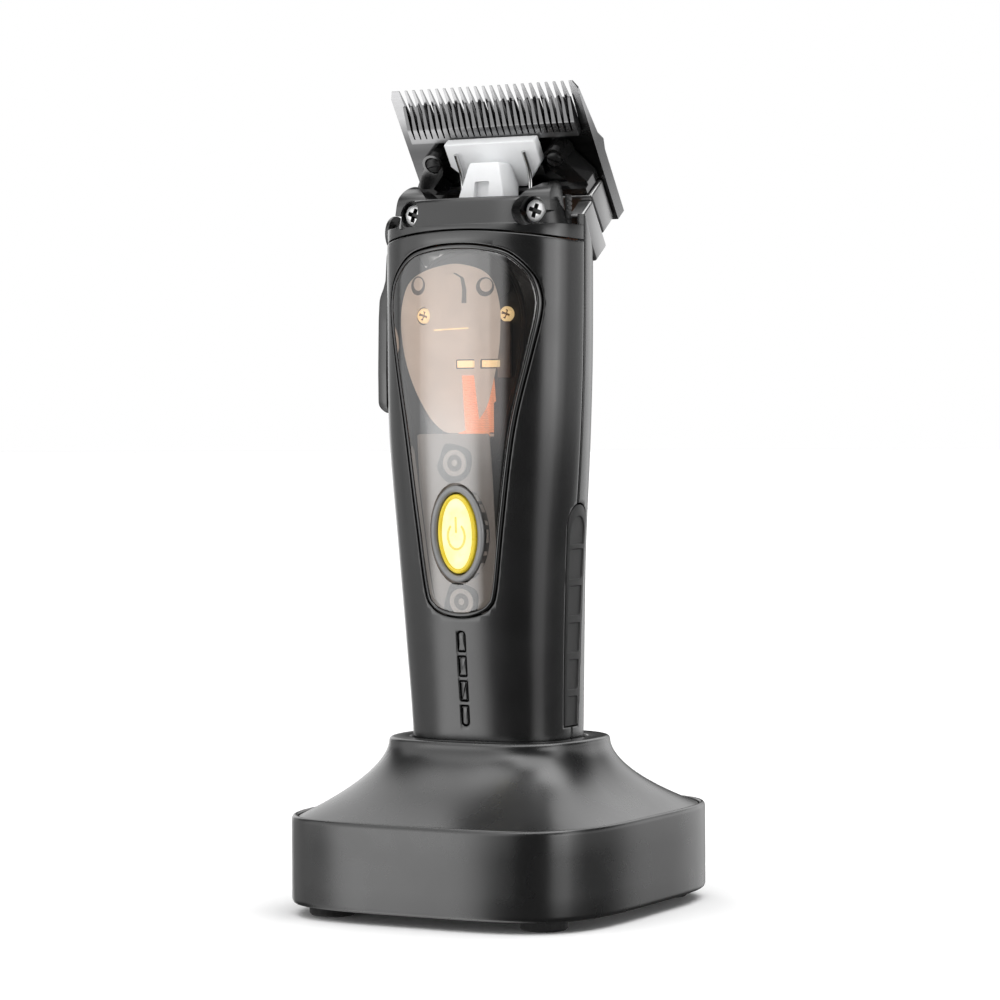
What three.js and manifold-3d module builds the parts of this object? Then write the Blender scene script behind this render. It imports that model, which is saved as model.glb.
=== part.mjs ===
// Cordless barber's clipper standing in its charging stand.
// Millimetres, +Z up. The origin is on the floor under the middle of the stand; the window faces -Y.
import * as THREE from 'three';
import { mergeVertices } from 'three/addons/utils/BufferGeometryUtils.js';
import Module from 'manifold-3d';

const wasm = await Module();
wasm.setup();

// ---------------------------------------------------------------- driving dimensions

const GAP = 0.3;                // clearance left between pieces that touch on the real object
const FAR = 80;                 // reach of a cutting shape that only has to run right through

// Stand: a bowed square in plan
const STAND = { halfX: 39, halfY: 42.5, power: 4.1 };
const FOOT = { x: 26.3, y: 30, radius: 5.2, top: 2.6 };
const RING = { bottom: 2.5, top: 22.1, wall: 2.7, rim: 1.1, rimBottom: 19.4 };
const PLATE = { bottom: 2.9, top: 5.9 };
const NECK = { halfX: 23.8, halfY: 20.6, power: 2.8, centreY: -0.7, top: 38.4, flare: 1.75 };
const COVER = { bottom: 19.8, foot: 21.6, wall: 2.2, inset: 1.4 };
const CUP = { bottom: 19.7, floor: 21.7, top: 35.7, slack: 0.6, wall: 1.6 };
const BOARD = { halfX: 10.5, front: -16, back: 34, bottom: 8, top: 9.2 };
const INLET = { width: 9, height: 3.2, skin: 0.4, z: 11.3, front: 35.2, back: 42 };
const CONTACT = { x: 6, y: -6, pinRadius: 1, padRadius: 2.7, pinTop: 22.6, padBottom: 22.9 };

// Clipper body: each station gives the section's centre, half width, half depth and squareness
const BODY_BOTTOM = 22;
const BODY_STATIONS = [
  { z: 22, centreY: -1.15, halfX: 17.9, halfY: 14.6, power: 3.0 },
  { z: 40, centreY: -1.3, halfX: 18.45, halfY: 15.1, power: 2.9 },
  { z: 60, centreY: -2.5, halfX: 19.5, halfY: 15.8, power: 2.75 },
  { z: 80, centreY: -3.8, halfX: 20.9, halfY: 16.0, power: 2.6 },
  { z: 105, centreY: -4.7, halfX: 23.0, halfY: 16.2, power: 2.45 },
  { z: 125, centreY: -4.5, halfX: 23.7, halfY: 16.2, power: 2.4 },
  { z: 158, centreY: -4.2, halfX: 23.9, halfY: 15.9, power: 2.35 },
];
const BODY_LEVELS = [32, 45, 60, 75, 90, 105, 120, 135, 147, 158];
const BODY_WALL = 1.9;
const BODY_SIDES = 36;
const SEAM = { top: 150.7, drop: 2.3, halfX: 23.6 };     // arched joint of front shell and head collar

// Window: right half of its outline, from the bottom round to the top, as x and z
const WINDOW_RIGHT = [
  [4.6, 66.2], [7.6, 68], [9.1, 71.8], [11.1, 87], [13.9, 107], [17.2, 122.5],
  [19.0, 131.5], [19.1, 136.5], [17.4, 141.2], [12.7, 145.7], [6.9, 147.4],
];
const WINDOW_BOTTOM = 65.5;
const WINDOW_TOP = 147.9;
const LENS = { skin: 1.6, flange: 1.4, flangeFront: 2.25, flangeBack: 3.1 };

const BUTTON = { z: 84.1, frontY: -19.9, lean: 3.3, halfX: 4.75, halfZ: 8.75 };
const BEZEL = { halfX: 6.6, halfZ: 10.65, innerX: 5.1, innerZ: 9.1, proud: 0.35, depth: 4 };
const INDICATOR = { count: 4, top: 60.35, pitch: 5.5, width: 2.1, height: 4.7, corner: 0.6 };
const GRIP = {
  bottom: 41.2, bottomY: -1.4, bottomHalf: 3.2, top: 86, topY: -3.35, topHalf: 4.4,
  proud: 0.25, depth: 0.9,
};

// Head: a frame that leans with the blades, its origin on the line of the fixed blade's tips.
// In it +Z runs up along the blades to the tips and +Y goes out through their back.
const HEAD = { y: -7.2, z: 183.4, lean: 35.7 };
const FIXED = { left: -24.2, right: 23.2, length: 35.9, thick: 3.6 };
const FIXED_TEETH = { count: 21, pitch: 1.98, depth: 9, tipGap: 0.72, rootGap: 0.36 };
const CUTTER = { halfX: 21.2, top: -3.6, bottom: -12.5, front: -2.4, back: -GAP, travel: 1.5 };
const CUTTER_TEETH = { pitch: 1.54, slots: 27, slotEnd: -11.3, tipGap: 0.56, rootGap: 0.16 };
const FOLLOWER = { halfX: 11.5, top: -11.5, shoulder: -17.3, bottom: -23.2, front: -5.2, back: -2.7 };
const TONGUE = { topHalf: 3.8, bottomHalf: 6, notchHalf: 1.8, notchTop: 161, recessTop: 162.2 };
const BRACKET = { outer: 21.8, front: -5.8, bottom: -24.6, barFront: -7.2, barTop: -23.2, boss: 2.7 };
const MOUNT_PLATE = { halfX: 22.6, front: -7.2, back: -0.35, top: -25, bottom: -36 };
const HEAD_COVER = { halfX: 22.8, front: -14.1, back: -7.6, top: -26, bottom: -38.1, inner: 19.6 };
const BLADE_SCREW = { x: 15.4, z: -16.3, headRadius: 1.8 };
const SPRING = { wire: 0.5, x: 8.6, legY: -6.05, coilRadius: 2, coilY: -11, coilZ: -25, turns: 2.5, pitch: 1.3 };

const COLLAR = { lipTop: 152, mainTop: 158.2, backPlane: -16.2 };
const COLLAR_SCREW = { x: 15.3, z: 155, floorY: -10.1, headRadius: 2.5 };

// Taper lever: its cam pin sits off the lever's axis and pulls the blade carriage along the blades
const LEVER = {
  y: -3.5, z: 151.5, hub: 4.1, inner: -24.3, outer: -25.4, pad: -26.7, tipY: -6.2, tipZ: 112.5,
};
const CAM = { throw: 3.2, swing: 35, pinRadius: 1.1, shaftRadius: 2.2, discRadius: 4.4 };

// Motor: a coil on a laminated core swings a magnet on the drive arm
const ARM = { pivotZ: 97, front: -2.3, back: 1.7, half: 1.3, eyeRadius: 3.6, pinRadius: 1.3 };
const CORE = { half: 1.2, front: -13, back: -11, bottom: 103, top: 122.3 };
const COIL = { bottom: 106.4, top: 118.9, innerX: 2.2, outerX: 5.6, innerFront: -14, outerFront: -15.4 };
const CELL = { radius: 9.1, bottom: 27, top: 92, y: -0.4 };

// ---------------------------------------------------------------- colours and finishes

const finish = (color, roughness, metalness) => ({ color, roughness, metalness });
const FINISH = {
  satinBlack: finish(0x1b1b1d, 0.42, 0),
  gripRubber: finish(0x202123, 0.8, 0),
  footRubber: finish(0x242425, 0.9, 0),
  smokedClear: finish(0x4a4744, 0.06, 0),
  innerTan: finish(0xa58f80, 0.5, 0),
  bezelGrey: finish(0x8d8e90, 0.35, 0.6),
  litYellow: finish(0xf4e04a, 0.3, 0),
  followerWhite: finish(0xf2f2f5, 0.4, 0),
  bladeSteel: finish(0x8f9194, 0.28, 1),
  darkSteel: finish(0x55575a, 0.35, 1),
  satinSilver: finish(0xb4b6b9, 0.38, 1),
  brightScrew: finish(0xd8d9db, 0.18, 1),
  blackScrew: finish(0x161617, 0.3, 0.8),
  brass: finish(0xd9b36a, 0.3, 1),
  copper: finish(0xc9703f, 0.35, 1),
  board: finish(0x1d4a33, 0.55, 0),
  cellWrap: finish(0x2b5f9e, 0.45, 0),
};

// ---------------------------------------------------------------- solids

const solid = (geometry) => {
  const bare = geometry.clone();
  bare.deleteAttribute('normal');
  bare.deleteAttribute('uv');
  const merged = mergeVertices(bare, 1e-4);
  return new wasm.Manifold(new wasm.Mesh({
    numProp: 3,
    vertProperties: new Float32Array(merged.attributes.position.array),
    triVerts: new Uint32Array(merged.index.array),
  }));
};

const geometryOf = (body) => {
  const mesh = body.getMesh();
  const geometry = new THREE.BufferGeometry();
  geometry.setAttribute('position', new THREE.BufferAttribute(mesh.vertProperties, 3));
  geometry.setIndex(new THREE.BufferAttribute(mesh.triVerts, 1));
  geometry.computeVertexNormals();
  return geometry;
};

const join = (...bodies) => bodies.reduce((sum, body) => sum.add(body));
const cut = (body, ...tools) => tools.reduce((rest, tool) => rest.subtract(tool), body);

const box = (x0, x1, y0, y1, z0, z1) => {
  const geometry = new THREE.BoxGeometry(x1 - x0, y1 - y0, z1 - z0);
  geometry.translate((x0 + x1) / 2, (y0 + y1) / 2, (z0 + z1) / 2);
  return solid(geometry);
};

const shapeOf = (points) => new THREE.Shape(points.map(([u, v]) => new THREE.Vector2(u, v)));

const extrude = (shape, depth, segments) => new THREE.ExtrudeGeometry(
  shape,
  { depth, bevelEnabled: false, curveSegments: segments },
);

// A prism along X has its outline in (y, z), one along Y in (x, z), and one along Z in (x, y).
const AXES = {
  x: [new THREE.Vector3(0, 1, 0), new THREE.Vector3(0, 0, 1), new THREE.Vector3(1, 0, 0)],
  y: [new THREE.Vector3(1, 0, 0), new THREE.Vector3(0, 0, 1), new THREE.Vector3(0, -1, 0)],
  z: [new THREE.Vector3(1, 0, 0), new THREE.Vector3(0, 1, 0), new THREE.Vector3(0, 0, 1)],
};

// A full circle in the outline comes out with 2 * segments sides, and a rounded corner with as many.
const prism = (axis, shape, from, to, segments = 12) => {
  const geometry = extrude(shape, to - from, segments);
  geometry.applyMatrix4(new THREE.Matrix4().makeBasis(...AXES[axis]));
  const start = axis === 'y' ? to : from;
  geometry.translate(axis === 'x' ? start : 0, axis === 'y' ? start : 0, axis === 'z' ? start : 0);
  return solid(geometry);
};

const ellipse = (u, v, radiusU, radiusV = radiusU) => {
  const shape = new THREE.Shape();
  shape.absellipse(u, v, radiusU, radiusV, 0, 2 * Math.PI);
  return shape;
};

const rod = (axis, u, v, radius, from, to, sides = 18) => (
  prism(axis, ellipse(u, v, radius), from, to, sides / 2)
);

const roundedRectangle = (u, v, width, height, corner) => {
  const shape = new THREE.Shape();
  const [left, low] = [u - width / 2, v - height / 2];
  const [right, high] = [u + width / 2, v + height / 2];
  shape.absarc(right - corner, low + corner, corner, -Math.PI / 2, 0);
  shape.absarc(right - corner, high - corner, corner, 0, Math.PI / 2);
  shape.absarc(left + corner, high - corner, corner, Math.PI / 2, Math.PI);
  shape.absarc(left + corner, low + corner, corner, Math.PI, 1.5 * Math.PI);
  return shape;
};

// A closed skin over a stack of convex rings that all have the same number of points.
const loft = (rings) => {
  const count = rings[0].length;
  const index = [];
  for (let ring = 0; ring + 1 < rings.length; ring += 1) {
    for (let i = 0; i < count; i += 1) {
      const next = (i + 1) % count;
      const [a, b] = [ring * count + i, ring * count + next];
      const [c, d] = [a + count, b + count];
      index.push(a, b, d, a, d, c);
    }
  }
  const top = (rings.length - 1) * count;
  for (let i = 1; i + 1 < count; i += 1) {
    index.push(0, i + 1, i, top, top + i, top + i + 1);
  }
  const geometry = new THREE.BufferGeometry();
  geometry.setAttribute('position', new THREE.Float32BufferAttribute(rings.flat(2), 3));
  geometry.setIndex(index);
  return solid(geometry);
};

// A superellipse ring: halfX and halfY are its half sizes, and power squares it up.
const ring = ({ halfX, halfY, power, centreY = 0 }, z, inset = 0, sides = BODY_SIDES) => (
  Array.from({ length: sides }, (_, i) => {
    const turn = ((i + 0.5) / sides) * 2 * Math.PI;
    const [c, s] = [Math.cos(turn), Math.sin(turn)];
    const x = Math.sign(c) * Math.abs(c) ** (2 / power) * (halfX - inset);
    const y = Math.sign(s) * Math.abs(s) ** (2 / power) * (halfY - inset);
    return [x, y + centreY, z];
  })
);

const mix = (from, to, t) => from + (to - from) * t;

const mirrorX = (geometry) => {
  const mirrored = geometry.clone().applyMatrix4(new THREE.Matrix4().makeScale(-1, 1, 1));
  const index = mirrored.index.array;
  for (let i = 0; i < index.length; i += 3) {
    [index[i], index[i + 1]] = [index[i + 1], index[i]];
  }
  return mirrored;
};

// ---------------------------------------------------------------- the clipper's outer form

// The body's section at a height, smoothly carried through the stations.
const bodyAt = (z) => {
  const s = BODY_STATIONS;
  let k = 0;
  while (k + 2 < s.length && z > s[k + 1].z) k += 1;
  const span = s[k + 1].z - s[k].z;
  const t = Math.min(Math.max((z - s[k].z) / span, 0), 1);
  const slope = (key, i) => {
    const [low, high] = [Math.max(i - 1, 0), Math.min(i + 1, s.length - 1)];
    return (s[high][key] - s[low][key]) / (s[high].z - s[low].z);
  };
  const through = (key) => {
    const [rise, ease] = [t * t * (3 - 2 * t), 1 - t];
    const lead = slope(key, k) * span * t * ease * ease;
    const trail = slope(key, k + 1) * span * t * t * ease;
    return mix(s[k][key], s[k + 1][key], rise) + lead - trail;
  };
  return {
    centreY: through('centreY'), halfX: through('halfX'), halfY: through('halfY'), power: through('power'),
  };
};

const bodyRing = (z, inset) => ring(bodyAt(z), z, inset);

// The whole body without its openings, inset from the outer surface, rounded at the bottom edge.
const bodyForm = (inset = 0) => loft([
  bodyRing(BODY_BOTTOM, 2 + inset),
  bodyRing(BODY_BOTTOM + 0.6, 0.7 + inset),
  bodyRing(BODY_BOTTOM + 2, inset),
  ...BODY_LEVELS.map((z) => bodyRing(z, inset)),
]);

const bodyCavity = () => loft([24.2, ...BODY_LEVELS].map((z) => bodyRing(z, BODY_WALL)));

// A straight-sided plug of the body's section, larger than it by a margin, from one height to another.
const bodyPlug = (margin, from, to) => loft([from, to].map((z) => bodyRing(z, -margin)));

// Everything in front of the parting line (side -1) or behind it (side 1).
const partingMask = (side) => {
  const line = [10, ...BODY_STATIONS.map(({ z }) => z), 175];
  const edge = line.map((z) => [bodyAt(z).centreY + side * GAP / 2, z]);
  return prism('x', shapeOf([[side * FAR, 10], ...edge, [side * FAR, 175]]), -FAR, FAR);
};

// The space above the arched seam, raised by a margin.
const aboveSeam = (margin) => {
  const steps = [-1, -0.75, -0.5, -0.25, 0, 0.25, 0.5, 0.75, 1];
  const arch = steps.map((t) => [
    t * 30,
    SEAM.top + margin - SEAM.drop * (t * 30 / SEAM.halfX) ** 2,
  ]);
  return prism('y', shapeOf([...arch, [30, 200], [-30, 200]]), -FAR, FAR);
};

const windowCurve = new THREE.SplineCurve([
  [0, WINDOW_BOTTOM], ...WINDOW_RIGHT, [0, WINDOW_TOP],
  ...WINDOW_RIGHT.toReversed().map(([x, z]) => [-x, z]), [0, WINDOW_BOTTOM],
].map(([x, z]) => new THREE.Vector2(x, z)));

// The window's outline, grown outwards by a margin.
const windowShape = (margin) => {
  const count = 44;
  const at = (i) => windowCurve.getPointAt(((i % count) + count) % count / count);
  const points = Array.from({ length: count }, (_, i) => {
    const along = at(i + 1).sub(at(i - 1)).normalize();
    return at(i).add(new THREE.Vector2(along.y, -along.x).multiplyScalar(margin));
  });
  return new THREE.Shape(points);
};

const windowPrism = (margin) => prism('y', windowShape(margin), -FAR, -8);

// The long strip on each flank that the rubber grip fills, grown by a margin.
const gripShape = (margin) => {
  const half = GRIP.topHalf + margin;
  const low = GRIP.bottom - margin;
  const lowHalf = GRIP.bottomHalf + margin;
  const arc = Array.from({ length: 9 }, (_, i) => {
    const turn = (i / 8) * Math.PI;
    return [GRIP.topY + half * Math.cos(turn), GRIP.top + half * Math.sin(turn)];
  });
  return shapeOf([[GRIP.bottomY - lowHalf, low], [GRIP.bottomY + lowHalf, low], ...arc]);
};

const gripPrism = (margin, side) => (
  prism('x', gripShape(margin), side > 0 ? 8 : -FAR, side > 0 ? FAR : -8)
);

const indicatorHeights = Array.from(
  { length: INDICATOR.count },
  (_, i) => INDICATOR.top - i * INDICATOR.pitch,
);

const indicatorPrism = (z, margin) => {
  const { width, height, corner } = INDICATOR;
  const shape = roundedRectangle(0, z, width + 2 * margin, height + 2 * margin, corner + margin);
  return prism('y', shape, -FAR, -8, 1);
};

// ---------------------------------------------------------------- the leaning head frame

const headMatrix = new THREE.Matrix4()
  .makeTranslation(0, HEAD.y, HEAD.z)
  .multiply(new THREE.Matrix4().makeRotationX(THREE.MathUtils.degToRad(HEAD.lean)));

const fromHead = (body) => solid(geometryOf(body).applyMatrix4(headMatrix));
const toHead = (body) => solid(geometryOf(body).applyMatrix4(headMatrix.clone().invert()));

const leverBore = (radius, from, to) => rod('x', LEVER.y, LEVER.z, radius, from, to);
const leverClearance = () => join(leverBore(2.7, -30, -20), leverBore(4.9, -21.1, -19));

// ---------------------------------------------------------------- stand

const standRing = (z, inset) => ring(STAND, z, inset);

const footCentres = [[-1, -1], [1, -1], [1, 1], [-1, 1]].map(([i, j]) => [i * FOOT.x, j * FOOT.y]);

const makeStandRing = () => {
  const outer = loft([
    standRing(RING.bottom, 0.9), standRing(3.0, 0.25), standRing(3.8, 0), standRing(21, 0),
    standRing(21.8, 0.25), standRing(RING.top, 0.7),
  ]);
  const inner = loft([
    standRing(1, RING.wall), standRing(RING.rimBottom, RING.wall),
    standRing(RING.rimBottom + 0.01, RING.rim), standRing(25, RING.rim),
  ]);
  const posts = footCentres.map(([x, y]) => {
    const side = Math.sign(x);
    const [near, far] = [x + side * 2, x + side * 8.2];
    return join(
      rod('z', x, y, 3.3, 6.2, 16),
      box(Math.min(near, far), Math.max(near, far), y - 1, y + 1, 6.2, 16),
    );
  });
  const screwHoles = footCentres.map(([x, y]) => rod('z', x, y, 1.45, 5, 13, 12));
  const slot = prism(
    'y',
    roundedRectangle(0, INLET.z, INLET.width + 0.8, INLET.height + 0.8, 1.95),
    STAND.halfY - 5,
    FAR,
    2,
  );
  return cut(join(cut(outer, inner), ...posts), ...screwHoles, slot);
};

// The cover's section part way up its flare: t is 1 at its foot and 0 at the neck.
const coverRing = (t, z, inset) => ring({
  halfX: mix(NECK.halfX, STAND.halfX - COVER.inset, t),
  halfY: mix(NECK.halfY, STAND.halfY - COVER.inset, t),
  power: mix(NECK.power, STAND.power, t),
  centreY: mix(NECK.centreY, 0, t),
}, z, inset);

const coverFlare = (inset, drop) => Array.from({ length: 8 }, (_, i) => {
  const rise = i / 7;
  return coverRing((1 - rise) ** NECK.flare, mix(COVER.foot, NECK.top - 0.9, rise) - drop, inset);
});

const makeStandCover = () => {
  const outer = loft([
    coverRing(1, COVER.bottom, 0), ...coverFlare(0, 0),
    coverRing(0, NECK.top - 0.3, 0.35), coverRing(0, NECK.top, 1.1),
  ]);
  const inner = loft([coverRing(1, 15, COVER.wall), ...coverFlare(COVER.wall, COVER.wall)]);
  const mouth = bodyPlug(0.8, 30, 40);
  const well = bodyPlug(CUP.slack + CUP.wall + GAP, 15, CUP.top + GAP);
  return cut(outer, inner, mouth, well);
};

const makeSocketCup = () => {
  const outer = bodyPlug(CUP.slack + CUP.wall, CUP.bottom, CUP.top);
  const inner = bodyPlug(CUP.slack, CUP.floor, 45);
  const legs = [-1, 1].map((side) => {
    const [near, far] = [side * 12, side * 15];
    return box(Math.min(near, far), Math.max(near, far), -5, 3, PLATE.top + GAP, CUP.bottom + 0.5);
  });
  const pinHoles = [-1, 1].map((side) => rod('z', side * CONTACT.x, CONTACT.y, 1.35, 18, 23, 12));
  return cut(join(outer, ...legs), inner, ...pinHoles);
};

const makeBasePlate = () => {
  const plate = loft([standRing(PLATE.bottom, 3), standRing(PLATE.top, 3)]);
  const standoffs = [[-8, -13], [8, -13], [8, 28], [-8, 28]].map(([x, y]) => (
    rod('z', x, y, 1.8, PLATE.top - 0.5, BOARD.bottom - GAP, 10)
  ));
  const holes = footCentres.flatMap(([x, y]) => [
    rod('z', x, y, 1.7, 1, 8, 12),
    rod('z', x, y, 3.3, 1, 4.6, 16),
  ]);
  return cut(join(plate, ...standoffs), ...holes);
};

const makeFoot = ([x, y]) => {
  const profile = [
    [0, 0], [FOOT.radius - 0.5, 0], [FOOT.radius, 0.5], [FOOT.radius, FOOT.top], [0, FOOT.top],
  ];
  const geometry = new THREE.LatheGeometry(profile.map(([r, z]) => new THREE.Vector2(r, z)), 24);
  geometry.rotateX(Math.PI / 2);
  geometry.translate(x, y, 0);
  return solid(geometry);
};

const makeStandScrew = ([x, y]) => join(
  rod('z', x, y, 2.9, 3.1, 4.3, 14),
  rod('z', x, y, 1.1, 4.2, 12, 10),
);

const makeStandBoard = () => box(
  -BOARD.halfX, BOARD.halfX, BOARD.front, BOARD.back, BOARD.bottom, BOARD.top,
);

const makeInletShell = () => {
  const { width, height, skin, z, front, back } = INLET;
  const tube = (inset, from, to) => prism(
    'y',
    roundedRectangle(0, z, width - 2 * inset, height - 2 * inset, height / 2 - inset - 0.01),
    from,
    to,
    2,
  );
  return cut(tube(0, front, back), tube(skin, front + skin, FAR));
};

const makeContactBlock = () => cut(
  box(-9, 9, CONTACT.y - 3, CONTACT.y + 3, BOARD.top + GAP, CUP.bottom - GAP),
  ...[-1, 1].map((side) => rod('z', side * CONTACT.x, CONTACT.y, 1.35, 5, 22, 12)),
);

const makeContactPin = (side) => {
  const { pinRadius: r, pinTop: top } = CONTACT;
  const profile = [[0, 10.6], [r, 10.6], [r, top - 0.6], [r * 0.7, top - 0.15], [0, top]];
  const geometry = new THREE.LatheGeometry(profile.map(([u, v]) => new THREE.Vector2(u, v)), 14);
  geometry.rotateX(Math.PI / 2);
  geometry.translate(side * CONTACT.x, CONTACT.y, 0);
  return solid(geometry);
};

// ---------------------------------------------------------------- clipper housing

const shellWall = () => cut(bodyForm(), bodyCavity());

const gripPocket = (side) => cut(gripPrism(GAP, side), bodyForm(GRIP.depth + GAP));

const makeFrontShell = () => {
  const contactHoles = [-1, 1].map((side) => (
    rod('z', side * CONTACT.x, CONTACT.y, CONTACT.padRadius + GAP, 20, 26)
  ));
  return cut(
    shellWall().intersect(partingMask(-1)),
    aboveSeam(0), windowPrism(0), gripPocket(-1), gripPocket(1), leverClearance(),
    ...indicatorHeights.map((z) => indicatorPrism(z, 0)), ...contactHoles,
  );
};

// The rear shell stops short of the stepped cover behind the head.
const headNotch = (margin) => fromHead(box(
  -FAR, FAR, HEAD_COVER.front - margin, FAR, HEAD_COVER.bottom - margin, FAR,
));

const makeRearShell = () => cut(
  shellWall().intersect(partingMask(1)),
  headNotch(GAP), gripPocket(-1), gripPocket(1), leverClearance(),
  box(-30, -18, -10, 0, LEVER.z + 1, 160),
);

const collarRing = (z, halfX, halfY) => ring({ halfX, halfY, power: 2.6, centreY: -4.2 }, z);

const makeHeadCollar = () => {
  const lip = cut(loft([147, COLLAR.lipTop].map((z) => bodyRing(z, 0.15))), belowSeam(GAP));
  const main = loft([
    collarRing(COLLAR.lipTop - 0.5, 21.1, 13.6), collarRing(COLLAR.mainTop - 0.8, 19.8, 12.5),
    collarRing(COLLAR.mainTop, 19.1, 11.8),
  ]);
  const ears = [-1, 1].map((side) => {
    const profile = shapeOf([
      [-12.4, 155], [-12.2, 158.6], [-10.2, 160.4], [-7.6, 161.6], [-5.6, 162], [-5.6, 155.5],
    ]);
    const slope = shapeOf([
      [11, 155], [11.4, 158], [13, 159.6], [15, 160.9], [17, 161.7], [18.3, 162], [18.9, 160.8], [19.6, 155],
    ].map(([x, z]) => [side * x, z]));
    return prism('x', profile, -25, 25).intersect(prism('y', slope, -20, 0));
  });
  const screwCuts = [-1, 1].flatMap((side) => [
    rod('y', side * COLLAR_SCREW.x, COLLAR_SCREW.z, 3, -FAR, COLLAR_SCREW.floorY),
    rod('y', side * COLLAR_SCREW.x, COLLAR_SCREW.z, 1.4, -12, 0, 10),
  ]);
  const well = box(-12.5, 12.5, -13.6, FAR, 140, 170);
  const behind = fromHead(box(-FAR, FAR, COLLAR.backPlane, FAR, -FAR, FAR));
  const rim = cut(join(lip, main), well, behind);
  return cut(join(rim, ...ears).intersect(partingMask(-1)), leverClearance(), ...screwCuts);
};

// The space below the seam, raised by a margin.
const belowSeam = (margin) => cut(box(-30, 30, -60, 60, 100, 180), aboveSeam(margin));

const makeWindowLens = () => {
  const skinBand = cut(bodyForm(), bodyForm(LENS.flangeBack));
  const flangeBand = cut(bodyForm(LENS.flangeFront), bodyForm(LENS.flangeBack));
  const bezelHole = prism(
    'y',
    ellipse(0, BUTTON.z, BEZEL.halfX + GAP, BEZEL.halfZ + 2 * GAP),
    -FAR,
    0,
    18,
  );
  const ledge = cut(
    flangeBand.intersect(windowPrism(LENS.flange)),
    aboveSeam(-1),
  );
  const pane = skinBand.intersect(windowPrism(-GAP));
  const relief = bodyForm(LENS.skin).intersect(windowPrism(-LENS.flange));
  return cut(join(pane, ledge), relief, bezelHole);
};

// A piece of the button group: an ellipse along the button's own axis, which leans with the surface.
const buttonPrism = (halfX, halfZ, front, back) => (
  prism('y', ellipse(0, 0, halfX, halfZ), front, back, 16)
);

const makeButtonBezel = () => cut(
  buttonPrism(BEZEL.halfX, BEZEL.halfZ, -BEZEL.proud, BEZEL.depth),
  buttonPrism(BEZEL.innerX, BEZEL.innerZ, -2, BEZEL.depth + 1),
);

const makePowerButton = () => {
  const crown = loft([0, 0.35, 0.6].map((lift, i) => (
    ring({ halfX: BUTTON.halfX, halfY: BUTTON.halfZ, power: 2 }, lift, [0, 0.35, 1.2][i], 32)
  )));
  const crowned = solid(geometryOf(crown).rotateX(Math.PI / 2));
  const body = buttonPrism(BUTTON.halfX, BUTTON.halfZ, -0.01, 2.8);
  return join(crowned, body, rod('y', 0, 0, 1.5, 2, 5.1, 12));
};

const makeLightGuide = () => {
  const low = indicatorHeights.at(-1) - INDICATOR.height / 2;
  const high = indicatorHeights[0] + INDICATOR.height / 2;
  const bars = indicatorHeights.map((z) => (
    indicatorPrism(z, -GAP).intersect(bodyForm(0.15))
  ));
  const backing = box(-2.2, 2.2, -14.2, -13.5, low - 0.8, high + 0.8);
  const infront = box(-FAR, FAR, -FAR, -13.8, 0, 200);
  return join(backing, ...bars.map((bar) => bar.intersect(infront)));
};

const makeGrip = (side) => (
  cut(bodyForm(-GRIP.proud), bodyForm(GRIP.depth)).intersect(gripPrism(0, side))
);

const makeCollarScrew = (side) => join(
  rod('y', side * COLLAR_SCREW.x, COLLAR_SCREW.z, COLLAR_SCREW.headRadius, -11.5, -10.4, 24),
  rod('y', side * COLLAR_SCREW.x, COLLAR_SCREW.z, 1.05, -10.5, -7.3, 10),
);

const makeChargePad = (side) => (
  rod('z', side * CONTACT.x, CONTACT.y, CONTACT.padRadius, CONTACT.padBottom, CONTACT.padBottom + 1)
);

// The stepped cover behind the head, hollow below and lower along its middle.
const makeHeadCover = () => {
  const { halfX, front, back, top, bottom, inner } = HEAD_COVER;
  return cut(
    box(-halfX, halfX, front, back, bottom, top),
    box(-inner, inner, front - 2, back - 2, bottom - 2, top + 2),
    box(-inner, inner, front - 2, back + 2, -32.3, top + 2),
    toHead(leverClearance()),
  );
};

// ---------------------------------------------------------------- inside the clipper

const makeCell = () => rod('z', 0, CELL.y, CELL.radius, CELL.bottom, CELL.top, 28);

const makeMainBoard = () => join(
  box(-7.5, 7.5, -13, -12, 40, 97),
  box(-2.5, 2.5, -13.9, -12.9, BUTTON.z - 2, BUTTON.z + 3),
);

const makeChassis = () => {
  const egg = new THREE.Shape(new THREE.SplineCurve([
    [0, 145.5], [8.5, 143], [13.2, 134.5], [13, 124], [9.5, 110], [6.5, 101], [0, 99.5],
    [-6.5, 101], [-9.5, 110], [-13, 124], [-13.2, 134.5], [-8.5, 143], [0, 145.5],
  ].map(([x, z]) => new THREE.Vector2(x, z))).getPoints(36).slice(0, -1));
  const coilWindow = prism('y', roundedRectangle(0, 112.7, 13.2, 16.4, 1), -FAR, 0, 1);
  const holes = [-1, 1].flatMap((side) => [
    rod('y', side * 10.4, 132.3, 1.2, -FAR, 0, 12),
    rod('y', side * 9, 138.7, 1.2, -FAR, 0, 12),
  ]);
  return cut(prism('y', egg, -15.2, -13.8), coilWindow, ...holes);
};

const makeChassisScrew = (side) => join(
  rod('y', side * 10.4, 132.3, 1.7, -16.3, -15.5, 18),
  rod('y', side * 10.4, 132.3, 0.85, -15.6, -10, 10),
);

const makeStud = (side) => join(
  rod('y', side * 9, 138.7, 2.6, -16.1, -15.5, 20),
  rod('y', side * 9, 138.7, 0.85, -16.5, -11, 10),
);

const makeCoilTerminal = (side) => (
  side < 0 ? box(-1, 2.9, -17.6, -15.5, 120.7, 122.2) : box(5.2, 9, -17.6, -15.5, 120.7, 122.2)
);

const makeCoilCore = () => {
  const { half, front, back, bottom, top } = CORE;
  return join(
    box(-half, half, front, back, bottom, top),
    box(-half, half, front, -6.3, bottom, bottom + 2.2),
    box(-half, half, front, -6.3, top - 2.2, top),
  );
};

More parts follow.
